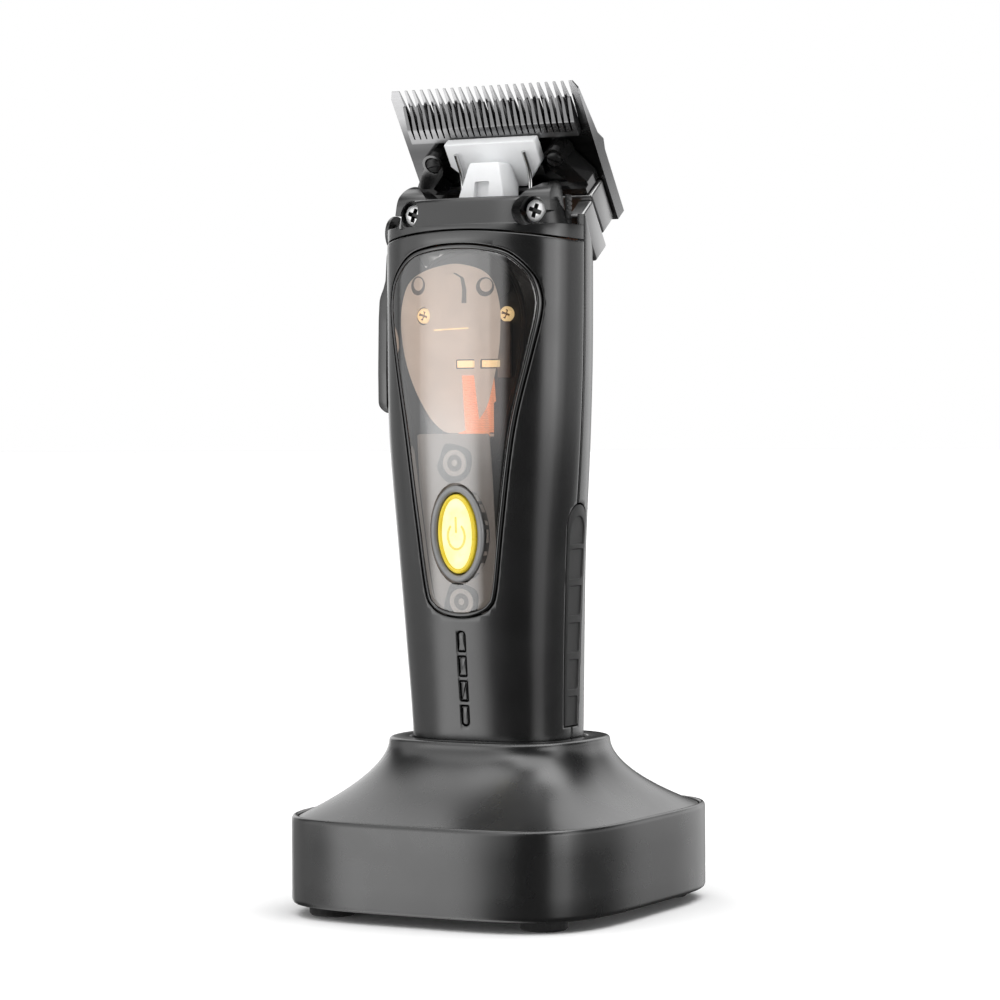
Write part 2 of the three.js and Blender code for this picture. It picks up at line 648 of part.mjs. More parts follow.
const makeBobbin = () => cut(
  join(
    box(-1.9, 1.9, -13.7, -10.3, 105.5, 119.8),
    box(-3.8, 3.8, -15.6, -8.4, 105.5, 106.1),
    box(-3.8, 3.8, -15.6, -8.4, 119.2, 119.8),
  ),
  box(-1.5, 1.5, -13.3, -10.7, 100, 125),
);

const makeCoil = () => {
  const { innerX, outerX, innerFront, outerFront, bottom, top } = COIL;
  const middleY = -12;
  const outer = roundedRectangle(0, middleY, 2 * outerX, 2 * (middleY - outerFront), 1.6);
  const inner = roundedRectangle(0, middleY, 2 * innerX, 2 * (middleY - innerFront), 0.4);
  return cut(prism('z', outer, bottom, top, 2), prism('z', inner, bottom - 1, top + 1, 1));
};

const makeMotorFrame = () => cut(
  join(
    box(-11, 11, 4, 6, 93, 126),
    box(-11, -9.5, -13.4, 5, 93, 126),
    box(9.5, 11, -13.4, 5, 93, 126),
    box(-11, 11, -10, -8, 93, 100),
  ),
  rod('y', 0, ARM.pivotZ, ARM.pinRadius + 0.35, -FAR, FAR, 14),
);

const makeArmPin = () => rod('y', 0, ARM.pivotZ, ARM.pinRadius, -9.8, 5.8, 14);

// The arm is upright behind the coil, then steps forward into the follower's notch.
const makeDriveArm = () => {
  const { front, back, half, pivotZ, eyeRadius, pinRadius } = ARM;
  const outline = shapeOf([
    [back, pivotZ - 1], [back, 146], [-3.5, 151.5], [-3.5, 159.4], [-5.9, 159.4], [-5.9, 150.5],
    [front, 145], [front, pivotZ - 1],
  ]);
  const blade = prism('x', outline, -half, half);
  const eye = rod('y', 0, pivotZ, eyeRadius, front, back, 20);
  const seat = box(-4, 4, front, -0.8, CORE.bottom - 0.5, CORE.top + 0.5);
  return cut(join(blade, eye, seat), rod('y', 0, pivotZ, pinRadius + 0.35, -FAR, FAR, 14));
};

const makeMagnet = () => box(-5, 5, -5.9, ARM.front - GAP, CORE.bottom - 0.5, CORE.top + 0.5);

// ---------------------------------------------------------------- cutting head, in the head frame

// Tapered gaps between teeth, open at the tip.
const toothGaps = (count, pitch, tip, root, tipHalf, rootHalf) => (
  Array.from({ length: count }, (_, i) => {
    const x = (i - (count - 1) / 2) * pitch;
    const outline = shapeOf([
      [x - tipHalf, tip + 0.5], [x - rootHalf, root], [x + rootHalf, root], [x + tipHalf, tip + 0.5],
    ]);
    return prism('y', outline, -10, 10);
  })
);

const makeFixedBlade = () => {
  const { left, right, length, thick } = FIXED;
  const side = shapeOf([
    [0, 0], [0.3, 0], [2.7, -14.8], [4.4, -17.4], [thick, -19.8], [thick, -length], [0, -length],
  ]);
  const teeth = FIXED_TEETH;
  const corners = [[-1, left], [1, right]].map(([end, edge]) => prism('y', shapeOf([
    [edge - end * 0.9, 0.2], [edge + end * 0.2, -2.4], [edge + end * 0.2, 0.2],
  ]), -10, 10));
  const holes = [-1, 1].map((end) => rod('y', end * BLADE_SCREW.x, BLADE_SCREW.z, 1.6, -10, 10, 14));
  return cut(
    prism('x', side, left, right),
    ...toothGaps(teeth.count + 1, teeth.pitch, 0, -teeth.depth, teeth.tipGap, teeth.rootGap),
    ...corners, ...holes,
  );
};

const makeMountPlate = () => {
  const { halfX, front, back, top, bottom } = MOUNT_PLATE;
  const pinY = -12.57;
  const pinZ = -27.1;
  const lug = cut(
    box(-18.9, -16.1, -15.4, front + 0.5, -29.9, top),
    box(-20, -15, pinY - 1.45, pinY + 1.6, pinZ - 1.35, pinZ + 1.35),
  );
  const plate = box(-halfX, halfX, front, back, bottom, top);
  return join(plate, lug);
};

// Each side has a boss round its screw and an arm that slants outwards to the cross bar.
const makeBladeBracket = () => {
  const { outer, front, bottom, barFront, barTop, boss } = BRACKET;
  const { x, z, headRadius } = BLADE_SCREW;
  const sides = [-1, 1].flatMap((side) => {
    const arm = [
      [13.6, -16.6], [18, -17], [outer, -22.4], [outer, bottom], [15.4, bottom], [17.4, -22.4], [13.6, -18.7],
    ];
    return [
      rod('y', side * x, z, boss, front, -0.35, 20),
      prism('y', shapeOf(arm.map(([u, v]) => [side * u, v])), front, -0.35),
    ];
  });
  const bar = box(-outer, outer, barFront, front + 0.2, bottom, barTop);
  const holes = [-1, 1].flatMap((side) => [
    rod('y', side * x, z, 1.6, -20, 10, 14),
    rod('y', side * x, z, headRadius + GAP, -20, front + 1.1, 18),
  ]);
  const stroke = box(-13.3, 13.3, -20, 10, -19.5, -10);
  return cut(join(...sides, bar), stroke, ...holes);
};

const makeBladeScrew = (side) => join(
  rod('y', side * BLADE_SCREW.x, BLADE_SCREW.z, BLADE_SCREW.headRadius, -6.2, -5.1, 18),
  rod('y', side * BLADE_SCREW.x, BLADE_SCREW.z, 1.2, -5.2, 2.6, 12),
);

// A torsion spring: the leg lies on the follower's face and runs down into the coil.
const makeTensionSpring = () => {
  const { wire, x, legY, coilRadius, coilY, coilZ, turns, pitch } = SPRING;
  const leg = [[x, legY, -13.6], [x, legY, -18.4], [x, -7.5, -21.4], [x, coilY + coilRadius, -23.4]];
  const stepsPerTurn = 8;
  const coil = Array.from({ length: turns * stepsPerTurn + 1 }, (_, i) => {
    const turn = -(i / stepsPerTurn) * 2 * Math.PI;
    return [
      x + pitch * (i / stepsPerTurn),
      coilY + coilRadius * Math.cos(turn),
      coilZ + coilRadius * Math.sin(turn),
    ];
  });
  const points = [...leg, ...coil].map((p) => new THREE.Vector3(...p));
  const geometry = new THREE.ExtrudeGeometry(ellipse(0, 0, wire), {
    steps: 44, curveSegments: 3, bevelEnabled: false, extrudePath: new THREE.CatmullRomCurve3(points),
  });
  return solid(geometry);
};

const makeCutter = () => {
  const { halfX, top, bottom, front, back } = CUTTER;
  const side = shapeOf([
    [back, top], [-1.0, top], [front, top - 5.4], [front, bottom], [back, bottom],
  ]);
  const tail = box(-10, 10, front, back, -22, bottom + 1);
  const { slots, pitch, slotEnd, tipGap, rootGap } = CUTTER_TEETH;
  return cut(
    join(prism('x', side, -halfX, halfX), tail),
    ...toothGaps(slots, pitch, top, slotEnd, tipGap, rootGap),
  );
};

const makeFollower = () => {
  const { halfX, top, shoulder, bottom, front, back } = FOLLOWER;
  const plate = prism('y', shapeOf([
    [-halfX, top], [-halfX, shoulder], [-6.2, bottom], [6.2, bottom], [halfX, shoulder], [halfX, top],
  ]), front, back);
  const tongueSide = shapeOf([
    [-6.9, 166.4], [-8.6, 157.6], [-8.6, 155.8], [-1.5, 155.8], [-1.5, 159.5], [1.6, 162.5], [-0.6, 166.4],
  ]);
  const tongueFront = shapeOf([
    [-TONGUE.topHalf, 167], [-TONGUE.bottomHalf, 157.6], [-TONGUE.bottomHalf, 155],
    [TONGUE.bottomHalf, 155], [TONGUE.bottomHalf, 157.6], [TONGUE.topHalf, 167],
  ]);
  const tongue = prism('x', tongueSide, -8, 8).intersect(prism('y', tongueFront, -12, 6));
  const notch = join(
    box(-TONGUE.notchHalf, TONGUE.notchHalf, -6.2, -2.6, 150, TONGUE.notchTop),
    box(-TONGUE.notchHalf, TONGUE.notchHalf, -12, -6.6, 150, TONGUE.recessTop),
  );
  return join(plate, toHead(cut(tongue, notch)));
};

// ---------------------------------------------------------------- taper lever

const makeTaperLever = () => {
  const arm = shapeOf([
    [LEVER.y - 2.4, LEVER.z], [LEVER.tipY - 2.2, 140], [LEVER.tipY - 2.6, LEVER.tipZ + 1.5],
    [LEVER.tipY - 1.4, LEVER.tipZ - 1], [LEVER.tipY + 1.4, LEVER.tipZ - 1],
    [LEVER.tipY + 2.6, LEVER.tipZ + 1.5], [LEVER.tipY + 2.2, 140], [LEVER.y + 2.4, LEVER.z],
  ]);
  const pad = shapeOf([
    [LEVER.inner - 0.6, 139.5], [LEVER.pad, 136], [LEVER.pad, 114], [LEVER.inner - 0.6, 111.6],
  ]);
  const padBody = prism('y', pad, LEVER.tipY - 2.2, LEVER.tipY + 2.2);
  return join(
    leverBore(LEVER.hub, LEVER.outer, LEVER.inner),
    prism('x', arm, LEVER.outer + 0.2, LEVER.inner),
    padBody,
  );
};

const makeLeverScrew = () => leverBore(1.8, LEVER.outer - 0.9, LEVER.outer - GAP);

const makeCamShaft = () => {
  const swing = THREE.MathUtils.degToRad(CAM.swing / 2);
  const lean = THREE.MathUtils.degToRad(HEAD.lean);
  const out = CAM.throw * Math.cos(swing);
  const up = CAM.throw * Math.sin(swing);
  const pinY = LEVER.y + out * Math.cos(lean) - up * Math.sin(lean);
  const pinZ = LEVER.z + out * Math.sin(lean) + up * Math.cos(lean);
  return join(
    leverBore(CAM.shaftRadius, LEVER.inner + GAP, -20.5),
    leverBore(CAM.discRadius, -20.7, -19.4),
    rod('x', pinY, pinZ, CAM.pinRadius, -19.5, -15.9, 14),
  );
};

// ---------------------------------------------------------------- assembly

const clipperAndStand = new THREE.Group();
const head = new THREE.Group();
head.applyMatrix4(headMatrix);
const button = new THREE.Group();
button.position.set(0, BUTTON.frontY, BUTTON.z);
button.rotation.x = THREE.MathUtils.degToRad(BUTTON.lean);
clipperAndStand.add(head, button);

const addGeometry = (parent, name, geometry, look) => {
  const mesh = new THREE.Mesh(geometry, new THREE.MeshStandardMaterial(look));
  mesh.name = name;
  parent.add(mesh);
};

const add = (parent, name, body, look) => addGeometry(parent, name, geometryOf(body), look);

const addPair = (parent, name, makeSide, look) => {
  add(parent, `${name}_left`, makeSide(-1), look);
  add(parent, `${name}_right`, makeSide(1), look);
};

const stand = clipperAndStand;
add(stand, 'stand_ring', makeStandRing(), FINISH.satinBlack);
add(stand, 'stand_cover', makeStandCover(), FINISH.satinBlack);
add(stand, 'socket_cup', makeSocketCup(), FINISH.satinBlack);
add(stand, 'base_plate', makeBasePlate(), FINISH.satinBlack);
footCentres.forEach((centre, i) => {
  add(stand, `rubber_foot_${i + 1}`, makeFoot(centre), FINISH.footRubber);
  add(stand, `base_screw_${i + 1}`, makeStandScrew(centre), FINISH.brightScrew);
});
add(stand, 'stand_circuit_board', makeStandBoard(), FINISH.board);
add(stand, 'usb_inlet_shell', makeInletShell(), FINISH.brightScrew);
add(stand, 'contact_block', makeContactBlock(), FINISH.satinBlack);
addPair(stand, 'contact_pin', makeContactPin, FINISH.brass);

const clipper = clipperAndStand;
add(clipper, 'front_shell', makeFrontShell(), FINISH.satinBlack);
add(clipper, 'rear_shell', makeRearShell(), FINISH.satinBlack);
add(clipper, 'head_collar', makeHeadCollar(), FINISH.satinBlack);
add(clipper, 'window_lens', makeWindowLens(), FINISH.smokedClear);
add(button, 'button_bezel', makeButtonBezel(), FINISH.bezelGrey);
add(button, 'power_button', makePowerButton(), FINISH.litYellow);
add(clipper, 'indicator_light_guide', makeLightGuide(), FINISH.smokedClear);
addPair(clipper, 'grip_strip', makeGrip, FINISH.gripRubber);
addPair(clipper, 'collar_screw', makeCollarScrew, FINISH.brightScrew);
addPair(clipper, 'charge_pad', makeChargePad, FINISH.brass);
add(head, 'rear_head_cover', makeHeadCover(), FINISH.satinSilver);

add(clipper, 'lithium_cell', makeCell(), FINISH.cellWrap);
add(clipper, 'main_circuit_board', makeMainBoard(), FINISH.board);
add(clipper, 'inner_chassis', makeChassis(), FINISH.innerTan);
addPair(clipper, 'chassis_screw', makeChassisScrew, FINISH.brass);
addPair(clipper, 'chassis_stud', makeStud, FINISH.blackScrew);
addPair(clipper, 'coil_terminal', makeCoilTerminal, FINISH.brass);
add(clipper, 'coil_core', makeCoilCore(), FINISH.darkSteel);
add(clipper, 'coil_bobbin', makeBobbin(), FINISH.innerTan);
add(clipper, 'copper_coil', makeCoil(), FINISH.copper);
add(clipper, 'motor_frame', makeMotorFrame(), FINISH.satinBlack);
add(clipper, 'arm_pivot_pin', makeArmPin(), FINISH.brightScrew);
add(clipper, 'drive_arm', makeDriveArm(), FINISH.darkSteel);
add(clipper, 'arm_magnet', makeMagnet(), FINISH.darkSteel);

add(head, 'fixed_blade', makeFixedBlade(), FINISH.bladeSteel);
add(head, 'blade_mount_plate', makeMountPlate(), FINISH.satinSilver);
add(head, 'blade_bracket', makeBladeBracket(), FINISH.satinBlack);
addPair(head, 'blade_screw', makeBladeScrew, FINISH.blackScrew);
add(head, 'moving_cutter', makeCutter(), FINISH.darkSteel);
add(head, 'cutter_follower', makeFollower(), FINISH.followerWhite);
const rightSpring = geometryOf(makeTensionSpring());
addGeometry(head, 'tension_spring_right', rightSpring, FINISH.brightScrew);
addGeometry(head, 'tension_spring_left', mirrorX(rightSpring), FINISH.brightScrew);

add(clipper, 'taper_lever', makeTaperLever(), FINISH.satinBlack);
add(clipper, 'lever_screw', makeLeverScrew(), FINISH.blackScrew);
add(clipper, 'lever_cam_shaft', makeCamShaft(), FINISH.darkSteel);

export default clipperAndStand;
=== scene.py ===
"""A cordless hair clipper in its charging stand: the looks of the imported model.

Lengths are in millimetres, and raw() turns them into the metres of the frame.
"""

import math

import bmesh
import bpy
from mathutils import Matrix, Vector


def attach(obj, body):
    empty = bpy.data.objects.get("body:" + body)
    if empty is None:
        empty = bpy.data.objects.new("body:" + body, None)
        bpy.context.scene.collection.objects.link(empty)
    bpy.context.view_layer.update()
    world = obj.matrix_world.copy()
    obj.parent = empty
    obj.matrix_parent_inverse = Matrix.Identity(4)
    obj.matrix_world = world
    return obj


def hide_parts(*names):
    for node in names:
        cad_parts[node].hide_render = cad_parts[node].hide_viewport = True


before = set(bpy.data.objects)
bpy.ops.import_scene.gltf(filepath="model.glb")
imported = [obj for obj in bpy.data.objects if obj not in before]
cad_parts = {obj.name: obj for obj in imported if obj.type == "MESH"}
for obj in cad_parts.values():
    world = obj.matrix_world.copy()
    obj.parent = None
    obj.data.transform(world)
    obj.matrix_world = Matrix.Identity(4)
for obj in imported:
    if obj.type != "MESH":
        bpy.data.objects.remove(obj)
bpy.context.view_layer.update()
scene = bpy.context.scene

MM = 0.001
GAP = 0.3
SIDES = ((-1, "left"), (1, "right"))

# ---------------------------------------------------------------- driving dimensions

BODY_STATIONS = [  # height, centre y, half width, half depth, squareness
    (22, -1.15, 17.9, 14.6, 3.0), (40, -1.3, 18.45, 15.1, 2.9), (60, -2.5, 19.5, 15.8, 2.75),
    (80, -3.8, 20.9, 16.0, 2.6), (105, -4.7, 23.0, 16.2, 2.45), (125, -4.5, 23.7, 16.2, 2.4),
    (158, -4.2, 23.9, 15.9, 2.35),
]
BODY_WALL = 1.9
SEAM_TOP, SEAM_DROP, SEAM_HALF = 150.7, 2.3, 23.6
WINDOW_RIGHT = [
    (4.6, 66.2), (7.6, 68), (9.1, 71.8), (11.1, 87), (13.9, 107), (17.2, 122.5),
    (19.0, 131.5), (19.1, 136.5), (17.4, 141.2), (12.7, 145.7), (6.9, 147.4),
]
WINDOW_BOTTOM, WINDOW_TOP = 65.5, 147.9
PANE_MIDDLE, PANE_FRONT, PANE_BACK = 106, 0.02, 1.6
BEAD_WIDTH = 0.85
LINER = [
    (-2.6, 143.3), (-9.4, 141.9), (-14.1, 139.3), (-16.4, 134.9), (-16.9, 130.5), (-15.8, 124.8),
    (-13.5, 119.2), (-10.2, 113.6), (-6.2, 108.6), (-2.3, 106.4), (2.7, 107.4), (6.3, 111.3),
    (8.0, 116.8), (9.4, 124.4), (9.7, 129.9), (9.6, 133.8), (8.4, 138.7), (6.1, 141.5), (1.8, 143.0),
]
PANEL = [
    (-8.6, 66.4), (5.6, 66.4), (7.4, 69.6), (8.0, 82.8), (7.7, 96.0), (7.2, 106.1), (-11.6, 106.1),
    (-11.3, 95.9), (-10.2, 82.5), (-9.6, 69.2),
]
HOOK = [(-3.5, 141.4), (-1.2, 141.5), (0.8, 140.4), (1.4, 137.7), (1.3, 134.8)]
BUTTON_Y, BUTTON_Z, BUTTON_LEAN = -19.9, 84.1, 3.3
BUTTON_HALF_X, BUTTON_HALF_Z, BEZEL_HALF_X, BEZEL_HALF_Z = 4.75, 8.75, 6.6, 10.65
INDICATOR_TOP, INDICATOR_PITCH, INDICATOR_WIDTH, INDICATOR_HEIGHT = 60.35, 5.5, 2.1, 4.7
GRIP_BOTTOM, GRIP_BOTTOM_Y, GRIP_BOTTOM_HALF = 41.2, -1.4, 3.2
GRIP_TOP, GRIP_TOP_Y, GRIP_TOP_HALF = 86, -3.35, 4.4
GRIP_CELLS = [84.5, 77.2, 69.0, 60.8, 52.6, 44.4]
HEAD_Y, HEAD_Z, HEAD_LEAN = -7.2, 183.4, 35.7
NOTCH_FRONT, NOTCH_BOTTOM = -14.4, -38.4
MOUNT_FOOT = -35.2
LEVER_Y, LEVER_Z, LEVER_BORE, LEVER_DISC = -3.5, 151.5, 2.7, 4.9
STAND_X, STAND_Y, STAND_POWER, COVER_INSET = 39, 42.5, 4.1, 1.4
NECK_X, NECK_Y, NECK_POWER, NECK_CENTRE, NECK_TOP, NECK_FLARE = 23.8, 20.6, 2.8, -0.7, 38.4, 1.75
COVER_FOOT, COVER_WALL = 21.6, 2.2

head_matrix = Matrix.Translation((0, HEAD_Y, HEAD_Z)) @ Matrix.Rotation(math.radians(HEAD_LEAN), 4, "X")
button_matrix = Matrix.Translation((0, BUTTON_Y, BUTTON_Z)) @ Matrix.Rotation(math.radians(BUTTON_LEAN), 4, "X")

# ---------------------------------------------------------------- materials


def node_tree(name):
    mat = bpy.data.materials.new(name)
    mat.use_nodes = True
    tree = mat.node_tree
    return mat, tree, tree.nodes["Principled BSDF"]


def feed(tree, node, inputs):
    """Gives a node its inputs: each value is another node's output to link, or a plain value."""
    for name, value in inputs.items():
        if isinstance(value, bpy.types.NodeSocket):
            tree.links.new(value, node.inputs[name])
        else:
            node.inputs[name].default_value = value


def add_node(tree, kind, inputs, **settings):
    node = tree.nodes.new("ShaderNode" + kind)
    for name, value in settings.items():
        setattr(node, name, value)
    feed(tree, node, inputs)
    return node


def noise(tree, scale, detail=3.0, stretch=(1, 1, 1)):
    """A noise texture in object space, scale in cycles per metre along each stretched axis."""
    coords = add_node(tree, "TexCoord", {})
    scales = [scale * s for s in stretch]
    mapping = add_node(tree, "Mapping", {"Vector": coords.outputs["Object"], "Scale": scales})
    texture = add_node(tree, "TexNoise", {"Vector": mapping.outputs["Vector"], "Scale": 1.0, "Detail": detail})
    return texture.outputs["Fac"]


def spread(tree, source, low, high, from_low=0.3, from_high=0.7):
    return add_node(tree, "MapRange", {
        "Value": source, "From Min": from_low, "From Max": from_high, "To Min": low, "To Max": high,
    }).outputs["Result"]


def blend_colours(tree, factor, first, second):
    colours = {"Factor": factor, "A": (*first, 1), "B": (*second, 1)}
    return add_node(tree, "Mix", colours, data_type="RGBA").outputs["Result"]


def bump(tree, shader, height, distance):
    node = add_node(tree, "Bump", {"Distance": distance, "Strength": 1.0, "Height": height})
    tree.links.new(node.outputs["Normal"], shader.inputs["Normal"])


def surface(name, colour, second, roughness, rough_spread, grain, grain_depth, patch=90,
            metallic=0.0, specular=0.5, painted_glow=0.0):
    """Patchy colour and roughness at one scale, and a fine grain in the normal at another; painted_glow makes
    the part glow in its own colour, painted light though it is no lamp.
    """
    mat, tree, shader = node_tree(name)
    patches = noise(tree, patch, 4)
    feed(tree, shader, {
        "Base Color": blend_colours(tree, spread(tree, patches, 0, 1), colour, second),
        "Roughness": spread(tree, patches, roughness - rough_spread, roughness + rough_spread),
        "Metallic": metallic, "Specular IOR Level": specular,
        # painted light: an emission in the surface's own colour, so the part glows without a lamp
        "Emission Color": (*colour, 1), "Emission Strength": painted_glow,
    })
    bump(tree, shader, noise(tree, grain, 2), grain_depth)
    return mat


def head_steel_with_painted_shade(name, stops, roughness=0.3, wear_stretch=(0.25, 6, 6)):
    """A ground steel with painted shade in its tone down the head, by (distance below the tips, grey level)
    stops: darker where shadow falls below the cutter's edge and between the teeth.
    """
    mat, tree, shader = node_tree(name)
    lean = math.radians(HEAD_LEAN)
    down = add_node(tree, "VectorMath", {
        0: add_node(tree, "TexCoord", {}).outputs["Object"], 1: (0, math.sin(lean), -math.cos(lean)),
    }, operation="DOT_PRODUCT")
    start = (HEAD_Y * math.sin(lean) - HEAD_Z * math.cos(lean)) * MM
    reach = stops[-1][0]
    distance = spread(tree, down.outputs["Value"], 0, 1, start, start + reach * MM)
    wear = noise(tree, 160, 4, wear_stretch)
    # A grey ramp down the head: painted shade, darker where the cutter and the teeth shadow the steel.
    ramp = add_node(tree, "ValToRGB", {"Fac": distance})
    elements = ramp.color_ramp.elements
    while len(elements) < len(stops):
        elements.new(0.5)
    for element, (place, level) in zip(elements, stops):
        element.position = place / reach
        element.color = (level, level, level * 1.01, 1)
    patches = add_node(tree, "Mix", {
        "Factor": 1.0, "A": ramp.outputs["Color"],
        "B": blend_colours(tree, spread(tree, wear, 0, 1), grey(0.85), grey(1.0)),
    }, data_type="RGBA", blend_type="MULTIPLY")
    feed(tree, shader, {
        "Base Color": patches.outputs["Result"], "Metallic": 1.0,
        "Roughness": spread(tree, wear, roughness - 0.04, roughness + 0.04),
    })
    bump(tree, shader, noise(tree, 700, 2, wear_stretch), 1.5e-6)
    return mat


def grey(level, warmth=0.0):
    return (level * (1 + warmth), level, level * (1 - warmth))


BLACK = (grey(0.004, -0.02), grey(0.006, -0.02))
LOOK = {
    "body": surface("satin_black", *BLACK, 0.25, 0.025, 4500, 3e-6, specular=1.0),
    "stand": surface("stand_black", *BLACK, 0.28, 0.03, 4000, 4e-6, specular=1.0),
    "dark": surface("inner_black", grey(0.01), grey(0.015), 0.45, 0.05, 3500, 6e-6),
    "gloss": surface("gloss_black", grey(0.005), grey(0.008), 0.14, 0.03, 2500, 3e-6, specular=1.0),
    "bead": surface("bead_black", grey(0.004), grey(0.006), 0.1, 0.02, 1500, 1e-6, specular=1.0),
    "grip": surface("grip_rubber", grey(0.02), grey(0.03), 0.55, 0.06, 5200, 1.6e-5, 140, specular=0.35),
    "foot": surface("foot_rubber", grey(0.018), grey(0.03), 0.7, 0.08, 3200, 2.5e-5, 160, specular=0.3),
    # painted shade: the fixed blade is darker from about 12 to 22 mm below its tips, in the shadow under the
    # cutter
    "blade": head_steel_with_painted_shade(
        "blade_steel", [(0, 0.42), (7, 0.36), (12, 0.14), (16, 0.08), (22, 0.1), (40, 0.25)],
    ),
    # painted shade: the cutter is darker over its bevel and below its flat band, where shadow falls; the band
    # itself is lighter
    "cutter": head_steel_with_painted_shade(
        "cutter_steel", [(3, 0.2), (8.6, 0.17), (9.1, 0.3), (12.2, 0.26), (12.8, 0.1), (22, 0.15)],
    ),
    "silver": surface("satin_silver", grey(0.34), grey(0.4), 0.36, 0.04, 5200, 4e-6, 120, metallic=1),
    "chrome": surface("bright_plate", grey(0.55), grey(0.64), 0.2, 0.04, 1800, 2e-6, 300, metallic=1),
    "screw_head": surface("bright_head", grey(0.9), grey(0.96), 0.28, 0.04, 1800, 2e-6, 300, metallic=0.3),
    "black_steel": surface(
        "black_oxide", grey(0.02), grey(0.035), 0.3, 0.05, 2400, 6e-6, 200, metallic=0.6,
    ),
    # painted light: the gold screws, terminals and wire behind the window glow in their own colour
    "gold": surface(
        "terminal_gold", (0.95, 0.7, 0.35), (1.0, 0.8, 0.48), 0.3, 0.05, 2000, 2e-6, 250,
        metallic=0.35, painted_glow=0.8,
    ),
    # painted shade: the screws' cross recesses are coloured dark where shade falls in them
    "recess": surface("painted_recess_shade_steel", grey(0.05), grey(0.08), 0.4, 0.06, 1800, 2e-6, 300, metallic=0.8),
    "brass_recess_shade": surface(
        "painted_recess_shade_brass", (0.2, 0.11, 0.04), (0.26, 0.15, 0.06), 0.4, 0.06, 1800, 2e-6, 300, metallic=0.8,
    ),
    "dark_steel": surface("dark_steel", grey(0.14), grey(0.2), 0.35, 0.06, 1500, 8e-6, 150, metallic=1),
    "brass": surface(
        "brass", (0.78, 0.5, 0.19), (0.86, 0.6, 0.28), 0.22, 0.05, 2000, 5e-6, 250, metallic=1,
    ),
    # painted light: the coil glows in its own colour behind the window
    "copper": surface(
        "copper", (0.85, 0.36, 0.15), (0.95, 0.48, 0.24), 0.3, 0.05, 3000, 2e-6, 300, metallic=0.2, painted_glow=0.5,
    ),
    "white": surface("follower_white", grey(0.82, -0.01), grey(0.88, -0.01), 0.38, 0.05, 2600, 4e-6, 130),
    # painted light: the liner dish, domes and bobbin glow in their own colour behind the window
    "tan": surface(
        "liner_tan", (0.58, 0.47, 0.39), (0.68, 0.56, 0.47), 0.4, 0.06, 1800, 4e-6, 70, painted_glow=0.5,
    ),
    "brown": surface("brown_plastic", (0.13, 0.1, 0.085), (0.17, 0.13, 0.11), 0.4, 0.06, 1800, 4e-6, 70),
    # painted light: the panel below the dish glows in its own colour behind the window
    "panel": surface(
        "panel_grey", (0.2, 0.18, 0.165), (0.26, 0.235, 0.215), 0.4, 0.06, 1800, 4e-6, 60, painted_glow=0.55,
    ),
    # painted light: the boss rings glow in their own colour behind the window
    "liner_ring": surface(
        "boss_grey", (0.42, 0.38, 0.35), (0.5, 0.45, 0.42), 0.35, 0.05, 2200, 4e-6, 200, painted_glow=0.4,
    ),
    "strip": surface("strip_taupe", (0.2, 0.16, 0.14), (0.25, 0.2, 0.18), 0.35, 0.05, 1600, 4e-6, 150),
    "bezel": surface("bezel_grey", grey(0.2), grey(0.25), 0.4, 0.05, 3500, 4e-6, 120, metallic=0.3),
    "board": surface("board_green", (0.02, 0.09, 0.045), (0.03, 0.13, 0.06), 0.4, 0.06, 1600, 1e-5, 180),
    "cell": surface("cell_sleeve", (0.03, 0.09, 0.26), (0.04, 0.12, 0.33), 0.35, 0.05, 900, 1.5e-5, 90),
    "guide": surface("light_guide", grey(0.005), grey(0.008), 0.24, 0.03, 3200, 2e-6, 150, specular=1.0),
}

# ---------------------------------------------------------------- making pieces


def link(name, data):
    obj = bpy.data.objects.new(name, data)
    scene.collection.objects.link(obj)
    return obj


def raw(name, points, faces, matrix=None):
    """A mesh object from points in millimetres, carried by a matrix that is in millimetres too."""
    placed = [matrix @ Vector(p) for p in points] if matrix else [Vector(p) for p in points]
    mesh = bpy.data.meshes.new(name)
    mesh.from_pydata([tuple(p * MM) for p in placed], [], faces)
    edit = bmesh.new()
    edit.from_mesh(mesh)
    bmesh.ops.recalc_face_normals(edit, faces=edit.faces)
    edit.to_mesh(mesh)
    edit.free()
    return link(name, mesh)


def settle(obj):
    """Applies every modifier on obj."""
    graph = bpy.context.evaluated_depsgraph_get()
    mesh = bpy.data.meshes.new_from_object(obj.evaluated_get(graph))
    obj.modifiers.clear()
    obj.data = mesh


def carve(obj, cutters, operation="DIFFERENCE"):
    for cutter in cutters:
        modifier = obj.modifiers.new("carve", "BOOLEAN")
        modifier.operation = operation
        modifier.solver = "MANIFOLD"
        modifier.object = cutter
    settle(obj)
    for cutter in cutters:
        bpy.data.objects.remove(cutter)


def soften(obj, width, segments=3, angle=30):
    """Rounds the edges sharper than angle, by a modifier."""
    modifier = obj.modifiers.new("soften", "BEVEL")
    modifier.width = width * MM
    modifier.segments = segments
    modifier.limit_method = "ANGLE"
    modifier.angle_limit = math.radians(angle)
    modifier.harden_normals = False
    modifier.use_clamp_overlap = True


def rounded(obj, width, segments=4, angle=30):
    """Rounds the edges sharper than angle in the mesh itself."""
    soften(obj, width, segments, angle)
    settle(obj)
    return obj


def finish_piece(obj, look, body, replaced=(), sharp=35):
    obj.data.materials.clear()
    obj.data.materials.append(LOOK[look] if isinstance(look, str) else look)
    for polygon in obj.data.polygons:
        polygon.use_smooth = True
    obj.data.set_sharp_from_angle(angle=math.radians(sharp))
    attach(obj, body)
    if replaced:
        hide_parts(*replaced)
    return obj


